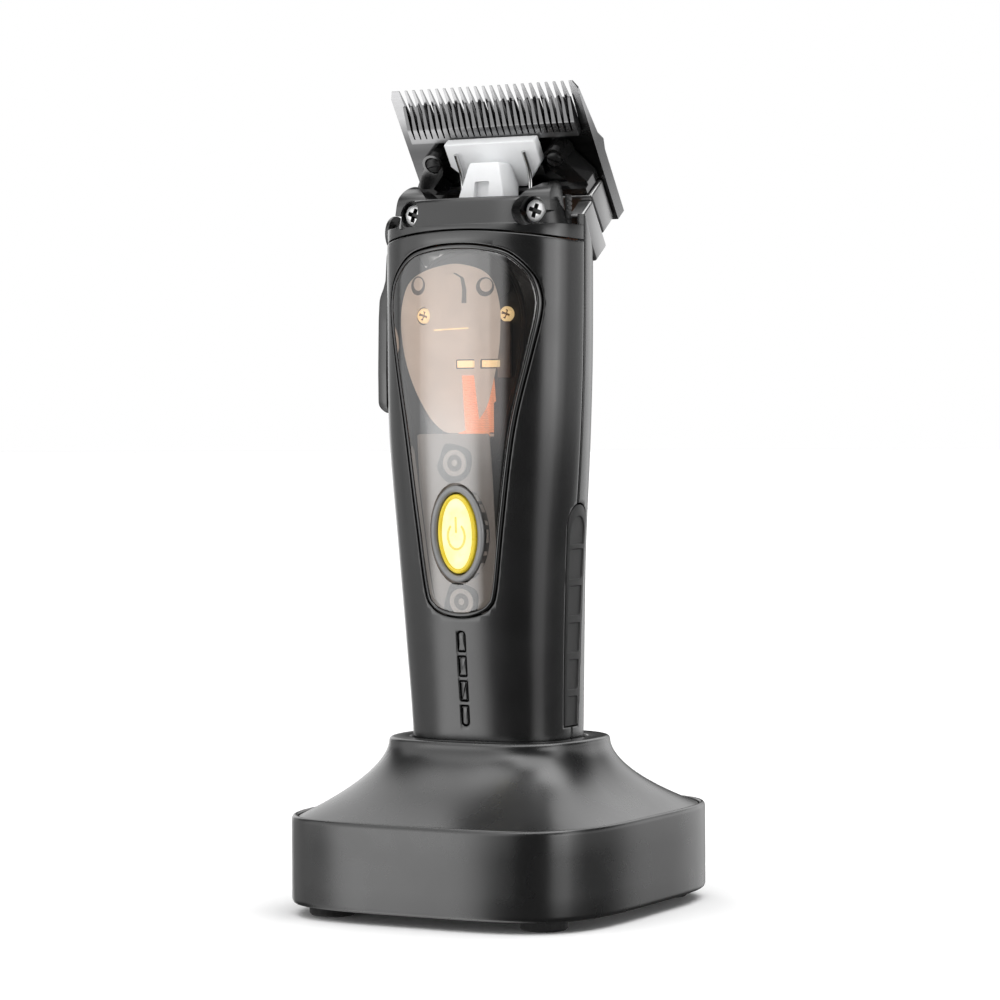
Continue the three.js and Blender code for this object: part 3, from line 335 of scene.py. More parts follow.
def loft(rings, wrap=False):
    """Faces over a stack of closed rings of equal counts, where a ring of one point makes a tip.

    The two ends are closed, or with wrap the last ring joins the first.
    """
    indices, points = [], []
    for ring in rings:
        indices.append(range(len(points), len(points) + len(ring)))
        points += ring
    count = max(len(ring) for ring in rings)
    faces = []
    for low, high in zip(indices, indices[1:] + indices[:1] if wrap else indices[1:]):
        for i in range(count):
            j = (i + 1) % count
            corners = (low[i % len(low)], low[j % len(low)], high[j % len(high)], high[i % len(high)])
            faces.append(tuple(dict.fromkeys(corners)))
    if not wrap:
        faces += [tuple(end) for end in (indices[0][::-1], indices[-1]) if len(end) > 1]
    return points, faces


AXIS_MAPS = {
    "x": lambda u, v, w: (w, u, v),
    "y": lambda u, v, w: (u, w, v),
    "z": lambda u, v, w: (u, v, w),
}


def prism(axis, outline, low, high):
    place = AXIS_MAPS[axis]
    return loft([[place(u, v, w) for u, v in outline] for w in (low, high)])


def box(x0, x1, y0, y1, z0, z1):
    return prism("z", [(x0, y0), (x1, y0), (x1, y1), (x0, y1)], z0, z1)


def circle(u, v, radius, count=32, radius_v=None):
    other = radius if radius_v is None else radius_v
    turns = [2 * math.pi * i / count for i in range(count)]
    return [(u + radius * math.cos(t), v + other * math.sin(t)) for t in turns]


def rounded_box_outline(u, v, width, height, corner, steps=6):
    points = []
    corners = [(1, -1, -90), (1, 1, 0), (-1, 1, 90), (-1, -1, 180)]
    for side_u, side_v, start in corners:
        cu = u + side_u * (width / 2 - corner)
        cv = v + side_v * (height / 2 - corner)
        for i in range(steps + 1):
            t = math.radians(start + 90 * i / steps)
            points.append((cu + corner * math.cos(t), cv + corner * math.sin(t)))
    return points


def turned(profile):
    """A solid turned round +Z from (radius, height) points; a radius of 0 closes it on the axis."""
    return loft([
        [(x, y, height) for x, y in circle(0, 0, radius, 56 if radius else 1)] for radius, height in profile
    ])


def smooth_loop(control, count):
    """A closed Catmull-Rom curve through control points, resampled at equal steps."""
    fine = []
    total = len(control)
    for i in range(total):
        p0, p1, p2, p3 = (Vector(control[(i + k) % total]) for k in (-1, 0, 1, 2))
        for t in (step / 24 for step in range(24)):
            fine.append(
                0.5 * (2 * p1 + (p2 - p0) * t + (2 * p0 - 5 * p1 + 4 * p2 - p3) * t * t
                       + (3 * p1 - p0 - 3 * p2 + p3) * t ** 3)
            )
    return resampled(fine, count)


def walk(line, runs_of):
    """The points of a line at the distances along it that runs_of gives for its whole length, in order."""
    lengths = [0.0]
    for a, b in zip(line, line[1:]):
        lengths.append(lengths[-1] + (b - a).length)
    result, k = [], 0
    for run in runs_of(lengths[-1]):
        while k + 2 < len(lengths) and lengths[k + 1] < run:
            k += 1
        part = (run - lengths[k]) / max(lengths[k + 1] - lengths[k], 1e-12)
        result.append(line[k].lerp(line[k + 1], min(max(part, 0), 1)))
    return result


def resample(points, count, closed=False):
    """The same line at equal steps."""
    line = [Vector(p) for p in points]
    if closed:
        line.append(line[0])
    steps = count if closed else count - 1
    return walk(line, lambda total: [total * i / steps for i in range(count)])


def smooth_corners(outline, passes=3):
    """A closed outline with its corners cut finer and finer; the two ends of its base stay sharp."""
    points = list(outline)
    for _ in range(passes):
        cut = [points[0]]
        for a, b in zip(points, points[1:]):
            cut.append((a[0] * 0.75 + b[0] * 0.25, a[1] * 0.75 + b[1] * 0.25))
            cut.append((a[0] * 0.25 + b[0] * 0.75, a[1] * 0.25 + b[1] * 0.75))
        cut.append(points[-1])
        points = cut
    return points


def resampled(outline, count):
    return [tuple(p) for p in resample(outline, count, closed=True)]


def grown(outline, margin):
    """A closed anticlockwise outline moved outwards by a margin."""
    count = len(outline)
    moved = []
    for i in range(count):
        along = Vector(outline[(i + 1) % count]) - Vector(outline[i - 1])
        along.normalize()
        moved.append((outline[i][0] + along.y * margin, outline[i][1] - along.x * margin))
    return moved


# ---------------------------------------------------------------- the clipper's outer form


def body_at(z):
    """Centre y, half width, half depth and squareness of the body's section at a height."""
    s = BODY_STATIONS
    k = 0
    while k + 2 < len(s) and z > s[k + 1][0]:
        k += 1
    span = s[k + 1][0] - s[k][0]
    t = min(max((z - s[k][0]) / span, 0), 1)

    def slope(column, i):
        low, high = max(i - 1, 0), min(i + 1, len(s) - 1)
        return (s[high][column] - s[low][column]) / (s[high][0] - s[low][0])

    def through(column):
        rise = t * t * (3 - 2 * t)
        lead = slope(column, k) * span * t * (1 - t) ** 2
        trail = slope(column, k + 1) * span * t * t * (1 - t)
        return s[k][column] + (s[k + 1][column] - s[k][column]) * rise + lead - trail

    return [through(column) for column in (1, 2, 3, 4)]


def superellipse(half_x, half_y, power, centre_y, start, stop, steps):
    """Points along a superellipse between two angles."""
    points = []
    for i in range(steps + 1):
        t = start + (stop - start) * i / steps
        c, s = math.cos(t), math.sin(t)
        x = math.copysign(abs(c) ** (2 / power), c) * half_x
        y = math.copysign(abs(s) ** (2 / power), s) * half_y
        points.append((x, y + centre_y))
    return points


def oval(z, half_x, half_y, power, centre_y, count=320, fine=720):
    """A superellipse at a height, evenly stepped, as points in x, y and z."""
    line = superellipse(half_x, half_y, power, centre_y, 0, 2 * math.pi, fine)[:-1]
    return [(x, y, z) for x, y in resampled(line, count)]


def front_y(x, z, inset=0.0):
    centre_y, half_x, half_y, power = body_at(z)
    inside = max(1 - abs(x / (half_x - inset)) ** power, 0)
    return centre_y - (half_y - inset) * inside ** (1 / power)


def side_x(y, z, inset=0.0):
    centre_y, half_x, half_y, power = body_at(z)
    inside = max(1 - abs((y - centre_y) / (half_y - inset)) ** power, 0)
    return (half_x - inset) * inside ** (1 / power)


def behind_front(outline, inset):
    """A flat outline laid on the body's front, or under it by inset."""
    return [(x, front_y(x, z, inset), z) for x, z in outline]


def front_cutter(name, outline, rims, reach=-6):
    """A cutter through the front: rims gives (margin, depth) pairs from the outside in."""
    rings = [[(x, -45, z) for x, z in grown(outline, rims[0][0])]]
    rings += [behind_front(grown(outline, margin), depth) for margin, depth in rims]
    rings.append([(x, reach, z) for x, z in grown(outline, rims[-1][0])])
    return raw(name, *loft(rings))


def side_cutter(name, outline, rims, side, reach=None):
    """The same through one side. Without reach it ends at its last rim."""
    rings = [[(side * 40, y, z) for y, z in grown(outline, rims[0][0])]]
    for margin, depth in rims:
        rings.append([(side * side_x(y, z, depth), y, z) for y, z in grown(outline, margin)])
    if reach:
        rings.append([(side * reach, y, z) for y, z in grown(outline, rims[-1][0])])
    return raw(name, *loft(rings))


ROUND_RIM = [(0.45, -0.05), (0.25, 0.02), (0.1, 0.1), (0.02, 0.25), (0.0, 0.5)]
TIGHT_RIM = [(0.2, -0.03), (0.1, 0.02), (0.03, 0.09), (0.0, 0.2)]

window_loop = smooth_loop(
    [(0, WINDOW_BOTTOM), *WINDOW_RIGHT, (0, WINDOW_TOP), *[(-x, z) for x, z in reversed(WINDOW_RIGHT)]], 200,
)


def grip_outline(margin=0.0):
    low, low_half, half = GRIP_BOTTOM - margin, GRIP_BOTTOM_HALF + margin, GRIP_TOP_HALF + margin
    arc = [(GRIP_TOP_Y + half * math.cos(t), GRIP_TOP + half * math.sin(t))
           for t in (math.pi * i / 20 for i in range(21))]
    line = [(GRIP_BOTTOM_Y - low_half, low), (GRIP_BOTTOM_Y + low_half, low), *arc]
    return resampled(line, 150)


def indicator_outlines():
    """Four bars; the first is rounded over its top end and the last round its bottom end."""
    outlines = []
    for i in range(4):
        z = INDICATOR_TOP - i * INDICATOR_PITCH
        half_x, half_z = INDICATOR_WIDTH / 2, INDICATOR_HEIGHT / 2
        top, bottom = (1.0 if i == 0 else 0.35), (1.0 if i == 3 else 0.35)
        points = []
        corners = [(1, -1, -90, bottom), (1, 1, 0, top), (-1, 1, 90, top), (-1, -1, 180, bottom)]
        for side_x, side_z, start, corner in corners:
            for k in range(7):
                t = math.radians(start + 15 * k)
                points.append((
                    side_x * (half_x - corner) + corner * math.cos(t),
                    z + side_z * (half_z - corner) + corner * math.sin(t),
                ))
        outlines.append(points)
    return outlines


EDGE_STEPS = [(0.0, 0.4), (0.03, 0.24), (0.1, 0.1), (0.22, 0.03), (0.4, 0.0)]  # run from the edge, inset


def half_shell(name, side, top_of, columns=150):
    """One half of the body's wall, from the parting line round: side -1 is the front, 1 the rear."""
    start, stop = (math.pi, 2 * math.pi) if side < 0 else (0, math.pi)
    rows = [(22.0, 2.0), (22.12, 1.4), (22.5, 0.75), (23.1, 0.25), (24.0, 0.0)]
    z = 25.5
    while z < 149:
        rows.append((z, 0.0))
        z += 1.5
    rows += [(150 - run, inset) for run, inset in reversed(EDGE_STEPS)]

    def column_runs(total):
        inner = [GAP / 2 + run for run, _ in EDGE_STEPS]
        count = columns - 2 * len(inner)
        middle = [inner[-1] + (total - 2 * inner[-1]) * (i + 1) / (count + 1) for i in range(count)]
        return inner + middle + [total - run for run in reversed(inner)]

    insets = [inset for _, inset in EDGE_STEPS]
    column_insets = insets + [0.0] * (columns - 2 * len(insets)) + insets[::-1]

    def row_points(z, inset, wall):
        result = []
        wide_y, wide_x, deep, squareness = body_at(min(z, 146))
        line = [Vector(p) for p in superellipse(wide_x, deep, squareness, wide_y, start, stop, 400)]
        for p, edge in zip(walk(line, column_runs), column_insets):
            height = z
            if z > 110:
                height = 110 + (z - 110) * (top_of(p.x, p.y) - 110) / 40
            centre_y, half_x, half_y, power = body_at(height)
            pull = wall if wall else max(inset, edge)
            across, along = p.x / wide_x, (p.y - wide_y) / deep
            result.append((across * (half_x - pull), centre_y + along * (half_y - pull), height))
        for i in (0, columns - 1):
            x, y, height = result[i]
            parting = body_at(height)[0] + side * GAP / 2
            result[i] = (x, max(y, parting) if side > 0 else min(y, parting), height)
        return result

    outer = [row_points(z, inset, 0) for z, inset in rows]
    inner = [row_points(z, 0, BODY_WALL) for z, inset in rows if z > 24.2 - 1e-6]
    inner.insert(0, row_points(24.2, 0, BODY_WALL))
    points = [p for row in outer + inner for p in row]
    base = len(outer) * columns
    faces = []
    for count, offset, flip in ((len(outer), 0, False), (len(inner), base, True)):
        for r in range(count - 1):
            for i in range(columns - 1):
                a = offset + r * columns + i
                quad = (a, a + 1, a + columns + 1, a + columns)
                faces.append(quad[::-1] if flip else quad)
    skipped = len(outer) - len(inner)
    for i in (0, columns - 1):
        for r in range(len(outer) - 1):
            a, b = r * columns + i, (r + 1) * columns + i
            c = base + max(r - skipped, 0) * columns + i
            d = base + max(r + 1 - skipped, 0) * columns + i
            faces.append((a, b, d) if c == d else (a, b, d, c))
    top_out, top_in = (len(outer) - 1) * columns, base + (len(inner) - 1) * columns
    for i in range(columns - 1):
        faces.append((top_out + i, top_out + i + 1, top_in + i + 1, top_in + i))
    faces.append(tuple(range(columns)))
    faces.append(tuple(range(base, base + columns)))
    faces.append((0, columns - 1, base + columns - 1, base))
    return raw(name, points, faces)


def front_top(x, _y):
    return SEAM_TOP - SEAM_DROP * (x / SEAM_HALF) ** 2


def rear_top(_x, y):
    sin, cos = math.sin(math.radians(HEAD_LEAN)), math.cos(math.radians(HEAD_LEAN))
    along_front = HEAD_Z + (NOTCH_FRONT - cos * (y - HEAD_Y)) / sin
    along_bottom = HEAD_Z + (NOTCH_BOTTOM + sin * (y - HEAD_Y)) / cos
    return min(max(along_front, along_bottom), 154.4)


def lever_cutter(name, radius, low, high):
    return raw(name, *prism("x", circle(LEVER_Y, LEVER_Z, radius), low, high))


def make_shells():
    outlines = indicator_outlines()
    window = [front_cutter("window_cut", window_loop, ROUND_RIM)]
    window += [front_cutter(f"slot_{i}", outline, TIGHT_RIM, -10) for i, outline in enumerate(outlines)]
    shells = (("front_shell", -1, front_top, window), ("rear_shell", 1, rear_top, []))
    for name, side, top_of, cutters in shells:
        shell = half_shell(f"{name}_skin", side, top_of)
        cutters += [side_cutter(f"pocket_{s}", grip_outline(GAP), TIGHT_RIM, s, 17.2) for s in (-1, 1)]
        carve(shell, cutters + [lever_cutter("bore", LEVER_BORE, -30, -19)])
        finish_piece(shell, "body", "clipper", [name], 40)


# ---------------------------------------------------------------- window


def tinted_clear(name, polished):
    """A smoked clear plastic. Only the polished one mirrors the room, by Fresnel."""
    mat, tree, shader = node_tree(name)
    tree.nodes.remove(shader)
    haze = spread(tree, noise(tree, 220, 4), 0, 1)
    tint = blend_colours(tree, haze, grey(0.84, 0.02), grey(0.88, 0.02))
    result = add_node(tree, "BsdfTransparent", {"Color": tint}).outputs["BSDF"]
    if polished:
        sheen = spread(tree, noise(tree, 500, 3), 0.05, 0.07)
        gloss = add_node(tree, "BsdfGlossy", {"Color": (1, 1, 1, 1), "Roughness": sheen})
        fresnel = add_node(tree, "Fresnel", {"IOR": 2.2})
        result = add_node(tree, "MixShader", {
            "Fac": fresnel.outputs["Fac"], 1: result, 2: gloss.outputs["BSDF"],
        }).outputs["Shader"]
    tree.links.new(result, tree.nodes["Material Output"].inputs["Surface"])
    return mat


def make_window():
    outer = -GAP
    inner = outer - BEAD_WIDTH
    profile = [
        (outer, 2.0), (outer, 0.35), (outer - 0.06, 0.12), (outer - 0.2, 0.0), ((outer + inner) / 2, -0.06),
        (inner + 0.2, 0.0), (inner + 0.06, 0.12), (inner, 0.35), (inner, 2.0),
    ]
    bead = raw("window_bead", *loft([behind_front(grown(window_loop, m), d) for m, d in profile], wrap=True))
    finish_piece(bead, "bead", "clipper", sharp=60)
    edge = inner - 0.02
    rims = [
        (edge, PANE_BACK), (edge, 0.3), (edge - 0.05, 0.14), (edge - 0.14, 0.05), (edge - 0.3, PANE_FRONT),
    ]

    def inward(rim, steps):
        """Rings from just inside a rim down to a point in the pane's middle."""
        outline = grown(window_loop, rim[0])
        loops = [
            [(x * (1 - k / steps), PANE_MIDDLE + (z - PANE_MIDDLE) * (1 - k / steps)) for x, z in outline]
            for k in range(1, steps)
        ]
        return [behind_front(loop, rim[1]) for loop in loops + [[(0, PANE_MIDDLE)]]]

    rings = inward(rims[0], 12)[::-1] + [behind_front(grown(window_loop, m), d) for m, d in rims]
    pane = raw("window_pane", *loft(rings + inward(rims[-1], 44)))
    carve(pane, [raw("button_hole", *prism("y", circle(0, BUTTON_Z, 6.9, 72, 11.25), -60, 0))])
    clear = tinted_clear("smoked_clear", True)
    finish_piece(pane, clear, "clipper", ["window_lens"], 40)
    pane.data.materials.append(tinted_clear("smoked_clear_inside", False))
    for polygon in pane.data.polygons:
        polygon.material_index = 1 if polygon.normal.y > 0 else 0


# ---------------------------------------------------------------- button and indicators


def ellipse_rings(half_x, half_z, profile, count=96):
    """Rings about the button's axis: profile gives (inset, y) pairs."""
    return [
        [(x, y, z) for x, z in circle(0, 0, half_x - inset, count, half_z - inset)]
        for inset, y in profile
    ]


def glow(name, colour, second, strength):
    mat, tree, shader = node_tree(name)
    tinted = blend_colours(tree, spread(tree, noise(tree, 260, 3), 0, 1), colour, second)
    feed(tree, shader, {
        "Base Color": tinted, "Emission Color": tinted, "Emission Strength": strength,
        "Roughness": spread(tree, noise(tree, 500, 3), 0.25, 0.35),
    })
    bump(tree, shader, noise(tree, 2600, 2), 3e-6)
    return mat


def make_button():
    def lit(name, mesh, look, replaced=(), sharp=60):
        piece = raw(name, *mesh, button_matrix)
        return finish_piece(piece, glow(*look), "power_button", replaced, sharp)

    profile = [
        (1.5, 4.0), (1.5, 0.1), (1.4, -0.12), (1.2, -0.26), (0.9, -0.33), (0.6, -0.35), (0.3, -0.3),
        (0.1, -0.16), (0.0, 0.1), (0.0, 4.0),
    ]
    bezel = loft(ellipse_rings(BEZEL_HALF_X, BEZEL_HALF_Z, profile), wrap=True)
    bezel = raw("bezel_ring", *bezel, button_matrix)
    finish_piece(bezel, "bezel", "clipper", ["button_bezel"], 50)
    profile = [
        (0.0, 2.6), (0.0, 0.0), (0.08, -0.25), (0.25, -0.42), (0.5, -0.5), (0.75, -0.42), (0.9, -0.3),
        (0.95, 0.2), (0.95, 2.6),
    ]
    rim = loft(ellipse_rings(BUTTON_HALF_X, BUTTON_HALF_Z, profile), wrap=True)
    lit("button_rim", rim, ("lit_rim", (0.62, 0.46, 0.02), (0.7, 0.54, 0.04), 0.12))
    profile = [
        (0.97, 2.2), (0.97, -0.1), (1.3, -0.22), (2.0, -0.34), (2.8, -0.41), (3.6, -0.45), (4.3, -0.46),
    ]
    face = loft(ellipse_rings(BUTTON_HALF_X, BUTTON_HALF_Z, profile))
    lit("button_face", face, ("lit_face", (0.9, 0.84, 0.32), (0.95, 0.9, 0.48), 0.3), ["power_button"])
    arc = [math.radians(128 + 284 * i / 40) for i in range(41)]
    outer = [(2.35 * math.cos(t), 3.1 * math.sin(t) - 0.5) for t in arc]
    inner = [(1.85 * math.cos(t), 2.6 * math.sin(t) - 0.5) for t in reversed(arc)]
    symbol = raw("power_symbol_arc", *prism("y", outer + inner, -0.52, -0.4), button_matrix)
    bar = prism("y", rounded_box_outline(0, 2.0, 0.5, 3.6, 0.24), -0.52, -0.4)
    carve(symbol, [raw("bar", *bar, button_matrix)], "UNION")
    ink = glow("symbol_ink", (0.72, 0.58, 0.12), (0.78, 0.64, 0.16), 0.1)
    finish_piece(symbol, ink, "power_button")


def make_indicators():
    profile = [(-GAP, 1.4), (-GAP, 0.3), (-GAP - 0.1, 0.2), (-GAP - 0.3, 0.16)]
    for i, outline in enumerate(indicator_outlines()):
        bar = raw(f"indicator_{i + 1}", *loft([behind_front(grown(outline, m), d) for m, d in profile]))
        finish_piece(bar, "guide", "clipper", [] if i else ["indicator_light_guide"], 45)


# ---------------------------------------------------------------- grips


def make_grips():
    outline = grip_outline()
    profile = [(0.0, 0.85), (0.0, 0.1), (-0.06, -0.05), (-0.2, -0.14)]
    rims = [(0.18, -0.25), (0.08, -0.1), (0.0, 0.02), (-0.1, 0.14)]
    mid_y, mid_z = (GRIP_TOP_Y + GRIP_BOTTOM_Y) / 2, 64
    for side, word in SIDES:
        rings = [[(side * side_x(y, z, d), y, z) for y, z in grown(outline, m)] for m, d in profile]
        for s in (0.85, 0.6, 0.35, 0.1):
            shrunk = [(mid_y + (y - mid_y) * s, mid_z + (z - mid_z) * s) for y, z in grown(outline, -0.2)]
            rings.append([(side * side_x(y, z, -0.14), y, z) for y, z in shrunk])
        strip = raw(f"grip_{word}", *loft(rings))
        cutters = []
        for k, z in enumerate(GRIP_CELLS):
            share = (z - GRIP_BOTTOM) / (GRIP_TOP - GRIP_BOTTOM)
            half = GRIP_BOTTOM_HALF + (GRIP_TOP_HALF - GRIP_BOTTOM_HALF) * share - 0.95
            middle = GRIP_BOTTOM_Y + (GRIP_TOP_Y - GRIP_BOTTOM_Y) * share
            if k == 0:
                arch = [math.pi * i / 16 for i in range(17)]
                hollow = [(middle + half * math.cos(t), 84.2 + (half + 0.2) * math.sin(t)) for t in arch]
                hollow = [(middle - half, 81.6), (middle + half, 81.6), *hollow]
            else:
                hollow = rounded_box_outline(middle, z, 2 * half, 6.6, 0.5, 4)
            cutters.append(side_cutter(f"cell_{k}", resampled(hollow, 72), rims, side))
        carve(strip, cutters)
        finish_piece(strip, "grip", "clipper", [f"grip_strip_{word}"], 35)


# ---------------------------------------------------------------- head collar


def make_collar():
    def lip_ring(z, inset, at):
        centre_y, half_x, half_y, power = body_at(at)
        return oval(z, half_x - 0.15 - inset, half_y - 0.15 - inset, power, centre_y, 220, 360)

    rings = []
    for z, inset in ((150.98, 0.35), (151.02, 0.1), (151.12, 0.0)):
        rings.append([(x, y, z - SEAM_DROP * (x / SEAM_HALF) ** 2) for x, y, _ in lip_ring(z, inset, z)])
    rings += [lip_ring(z, inset, 151.9) for z, inset in ((151.75, 0.0), (151.93, 0.06), (152.0, 0.2))]
    for z, half_x, half_y in (
        (152.0, 21.4, 13.75), (152.25, 21.1, 13.5), (154, 20.65, 13.15), (157.2, 19.85, 12.55),
        (157.8, 19.6, 12.35), (158.1, 19.25, 12.0), (158.2, 18.7, 11.5),
    ):
        rings.append(oval(z, half_x, half_y, 2.6, -4.2, 220, 360))
    collar = raw("collar_skin", *loft(rings))
    carve(collar, [
        raw("well", *prism("z", rounded_box_outline(0, 13.2, 25, 53.6, 1.5), 140, 170)),
        raw("behind", *box(-60, 60, -16.2, 60, -60, 60), head_matrix),
    ])
    outline = smooth_corners([
        (-12.4, 155), (-12.2, 158.6), (-10.2, 160.4), (-7.6, 161.6), (-5.6, 162), (-5.6, 155),
    ])
    slope = smooth_corners([
        (11, 155), (11.4, 158), (13, 159.6), (15, 160.9), (17, 161.7), (18.3, 162), (18.9, 160.8), (19.6, 155),
    ])
    ears = []
    for side, _ in SIDES:
        ear = raw("ear", *prism("x", outline, -25, 25))
        carve(ear, [raw("slope", *prism("y", [(side * x, z) for x, z in slope], -20, 0))], "INTERSECT")
        ears.append(rounded(ear, 0.35, 4, 40))
    carve(collar, ears, "UNION")
    cutters = [raw("parting", *box(-60, 60, -4.5, 60, 100, 200)), lever_cutter("bore", LEVER_DISC, -21.1, -19)]
    profile = [(3.7, -30), (3.5, -14.2), (3.1, -13.2), (2.95, -12.6), (2.95, -10.15)]
    for side, _ in SIDES:
        rings = [[(x, y, z) for x, z in circle(side * 15.3, 155, radius, 48)] for radius, y in profile]
        cutters.append(raw("recess", *loft(rings)))
    carve(collar, cutters)
    tab = rounded(raw("snap_tab", *box(20.3, 21.2, -6.9, -5.0, 152.1, 158.6)), 0.2, 3)
    carve(tab, [raw("rib", *box(20.9, 22, -8, -4, 153 + k, 153.35 + k)) for k in range(6)])
    finish_piece(tab, "dark", "clipper")
    finish_piece(collar, "body", "clipper", ["head_collar"], 32)


# ---------------------------------------------------------------- screws


def cross_screw(name, matrix, radius, crown, depth, look, body, replaced, recess_shade_look="recess"):
    """A round-headed screw with a cross recess, its head facing -Z of the matrix and 0 at the seat."""
    profile = [
        (0, 0.35), (radius * 0.97, 0.35), (radius, 0.2), (radius, -0.25 * crown),
        (radius * 0.93, -0.6 * crown), (radius * 0.75, -0.85 * crown), (radius * 0.45, -0.97 * crown),
        (0, -crown),
    ]
    head = raw(name, *turned(profile), matrix)
    corner = radius * 0.06
    for turn in (0, 90):
        arm = matrix @ Matrix.Rotation(math.radians(turn + 20), 4, "Z")
        rings = [
            [(x, y, height) for x, y in rounded_box_outline(0, 0, radius * length, radius * width, corner)]
            for height, length, width in ((-crown - 0.2, 1.38, 0.42), (-crown + depth, 0.9, 0.26))
        ]
        carve(head, [raw("arm", *loft(rings), arm)])
    finish_piece(head, look, body, replaced, 38)
    # Faces inside the cross recess take a dark look: painted shade in the recess.
    head.data.materials.append(LOOK[recess_shade_look])
    back = matrix.inverted()
    for polygon in head.data.polygons:
        centre = back @ (polygon.center / MM)
        inside = math.hypot(centre.x, centre.y) < radius * 0.72 and -crown + 0.18 < centre.z < 0.34
        polygon.material_index = 1 if inside else 0


def make_screws():
    facing = Matrix.Rotation(math.radians(-90), 4, "X")
    for side, word in SIDES:
        seat = Matrix.Translation((side * 15.3, -10.5, 155)) @ facing
        cross_screw(
            f"collar_screw_head_{word}", seat, 2.5, 1.0, 1.15, "screw_head", "clipper",
            [f"collar_screw_{word}"],
        )
        seat = Matrix.Translation((side * 10.4, -15.55, 132.3)) @ facing
        cross_screw(
            f"chassis_screw_head_{word}", seat, 1.7, 0.72, 0.55, "gold", "clipper",
            [f"chassis_screw_{word}"], "brass_recess_shade",
        )
        seat = head_matrix @ Matrix.Translation((side * 15.4, -5.15, -16.3)) @ facing
        profile = [
            (0, 0.3), (1.7, 0.3), (1.8, 0.15), (1.8, -0.5), (1.67, -0.8), (1.4, -0.98), (0.9, -1.04),
            (0, -1.05),
        ]
        head = raw(f"blade_screw_head_{word}", *turned(profile), seat)
        slot_turn = Matrix.Rotation(math.radians(-12 if side < 0 else 24), 4, "Z")
        carve(head, [raw("slot", *box(-2.6, 2.6, -0.28, 0.28, -1.3, -0.55), seat @ slot_turn)])
        finish_piece(head, "black_steel", "blade_carriage", [f"blade_screw_{word}"], 38)


# ---------------------------------------------------------------- stand


def stand_section(inset, z):
    return oval(z, STAND_X - inset, STAND_Y - inset, STAND_POWER, 0)


def make_stand():
    profile = [
        (2.6, 2.5), (1.2, 2.5), (0.85, 2.53), (0.5, 2.66), (0.22, 2.9), (0.06, 3.3), (0.0, 3.8), (0.0, 8),
        (0.0, 12),
        (0.0, 16), (0.0, 20.9), (0.04, 21.35), (0.15, 21.7), (0.32, 21.95), (0.55, 22.08), (0.75, 22.1),
        (0.94, 22.02), (1.06, 21.85), (1.1, 21.6), (1.1, 19.45), (2.62, 19.4), (2.65, 12),
    ]
    ring = raw("ring_skin", *loft([stand_section(i, z) for i, z in profile], wrap=True))
    slot = rounded_box_outline(0, 11.3, 9.8, 4.0, 1.95)
    rims = ((0.6, 50), (0.6, 42.6), (0.25, 42.3), (0, 41.9), (0, 36))
    rings = [[(x, y, z) for x, z in grown(slot, m)] for m, y in rims]
    carve(ring, [raw("inlet_cut", *loft(rings))])
    finish_piece(ring, "stand", "stand", ["stand_ring"], 40)
    make_cover()


def cover_section(t, z, inset):
    """The cover's section, from the neck's outline at t = 0 to the stand's at t = 1."""
    def mix(a, b):
        return a + (b - a) * t

    half_x, half_y = mix(NECK_X, STAND_X - COVER_INSET), mix(NECK_Y, STAND_Y - COVER_INSET)
    return oval(z, half_x - inset, half_y - inset, mix(NECK_POWER, STAND_POWER), mix(NECK_CENTRE, 0))


def make_cover():
    rings = [cover_section(1, 19.85, 0.15), cover_section(1, 20.0, 0), cover_section(1, 21.3, 0)]
    steps = 44
    top = NECK_TOP - 0.95
    for i in range(steps + 1):
        rise = i / steps
        rings.append(cover_section((1 - rise) ** NECK_FLARE, COVER_FOOT + (top - COVER_FOOT) * rise, 0))
    for inset, drop in ((0.05, 0.65), (0.2, 0.36), (0.45, 0.15), (0.8, 0.03), (1.2, 0)):
        rings.append(cover_section(0, NECK_TOP - drop, inset))

    centre_y, half_x, half_y, power = body_at(37)
    for margin, drop in ((1.3, 0.02), (1.0, 0.12), (0.85, 0.4), (0.8, 1.0), (0.8, 2.2), (2.4, 2.3), (2.4, 5)):
        rings.append(oval(NECK_TOP - drop, half_x + margin, half_y + margin, power, centre_y))
    for i in range(8):
        rise = 1 - i / 7
        height = COVER_FOOT - 1.8 + (top - COVER_FOOT - 1.6) * rise
        rings.append(cover_section((1 - rise) ** NECK_FLARE, height, COVER_WALL))
    cover = raw("cover_skin", *loft(rings, wrap=True))
    finish_piece(cover, "stand", "stand", ["stand_cover"], 40)


# ---------------------------------------------------------------- cutting head


def wire(line, radius, sides=14):
    """A round wire along a line of points."""
    rings = []
    normal = Vector((1, 0, 0))
    for i, p in enumerate(line):
        along = (line[min(i + 1, len(line) - 1)] - line[max(i - 1, 0)]).normalized()
        normal = (normal - along * normal.dot(along)).normalized()
        other = along.cross(normal)
        rings.append([tuple(p + normal * u + other * v) for u, v in circle(0, 0, radius, sides)])
    return loft(rings)


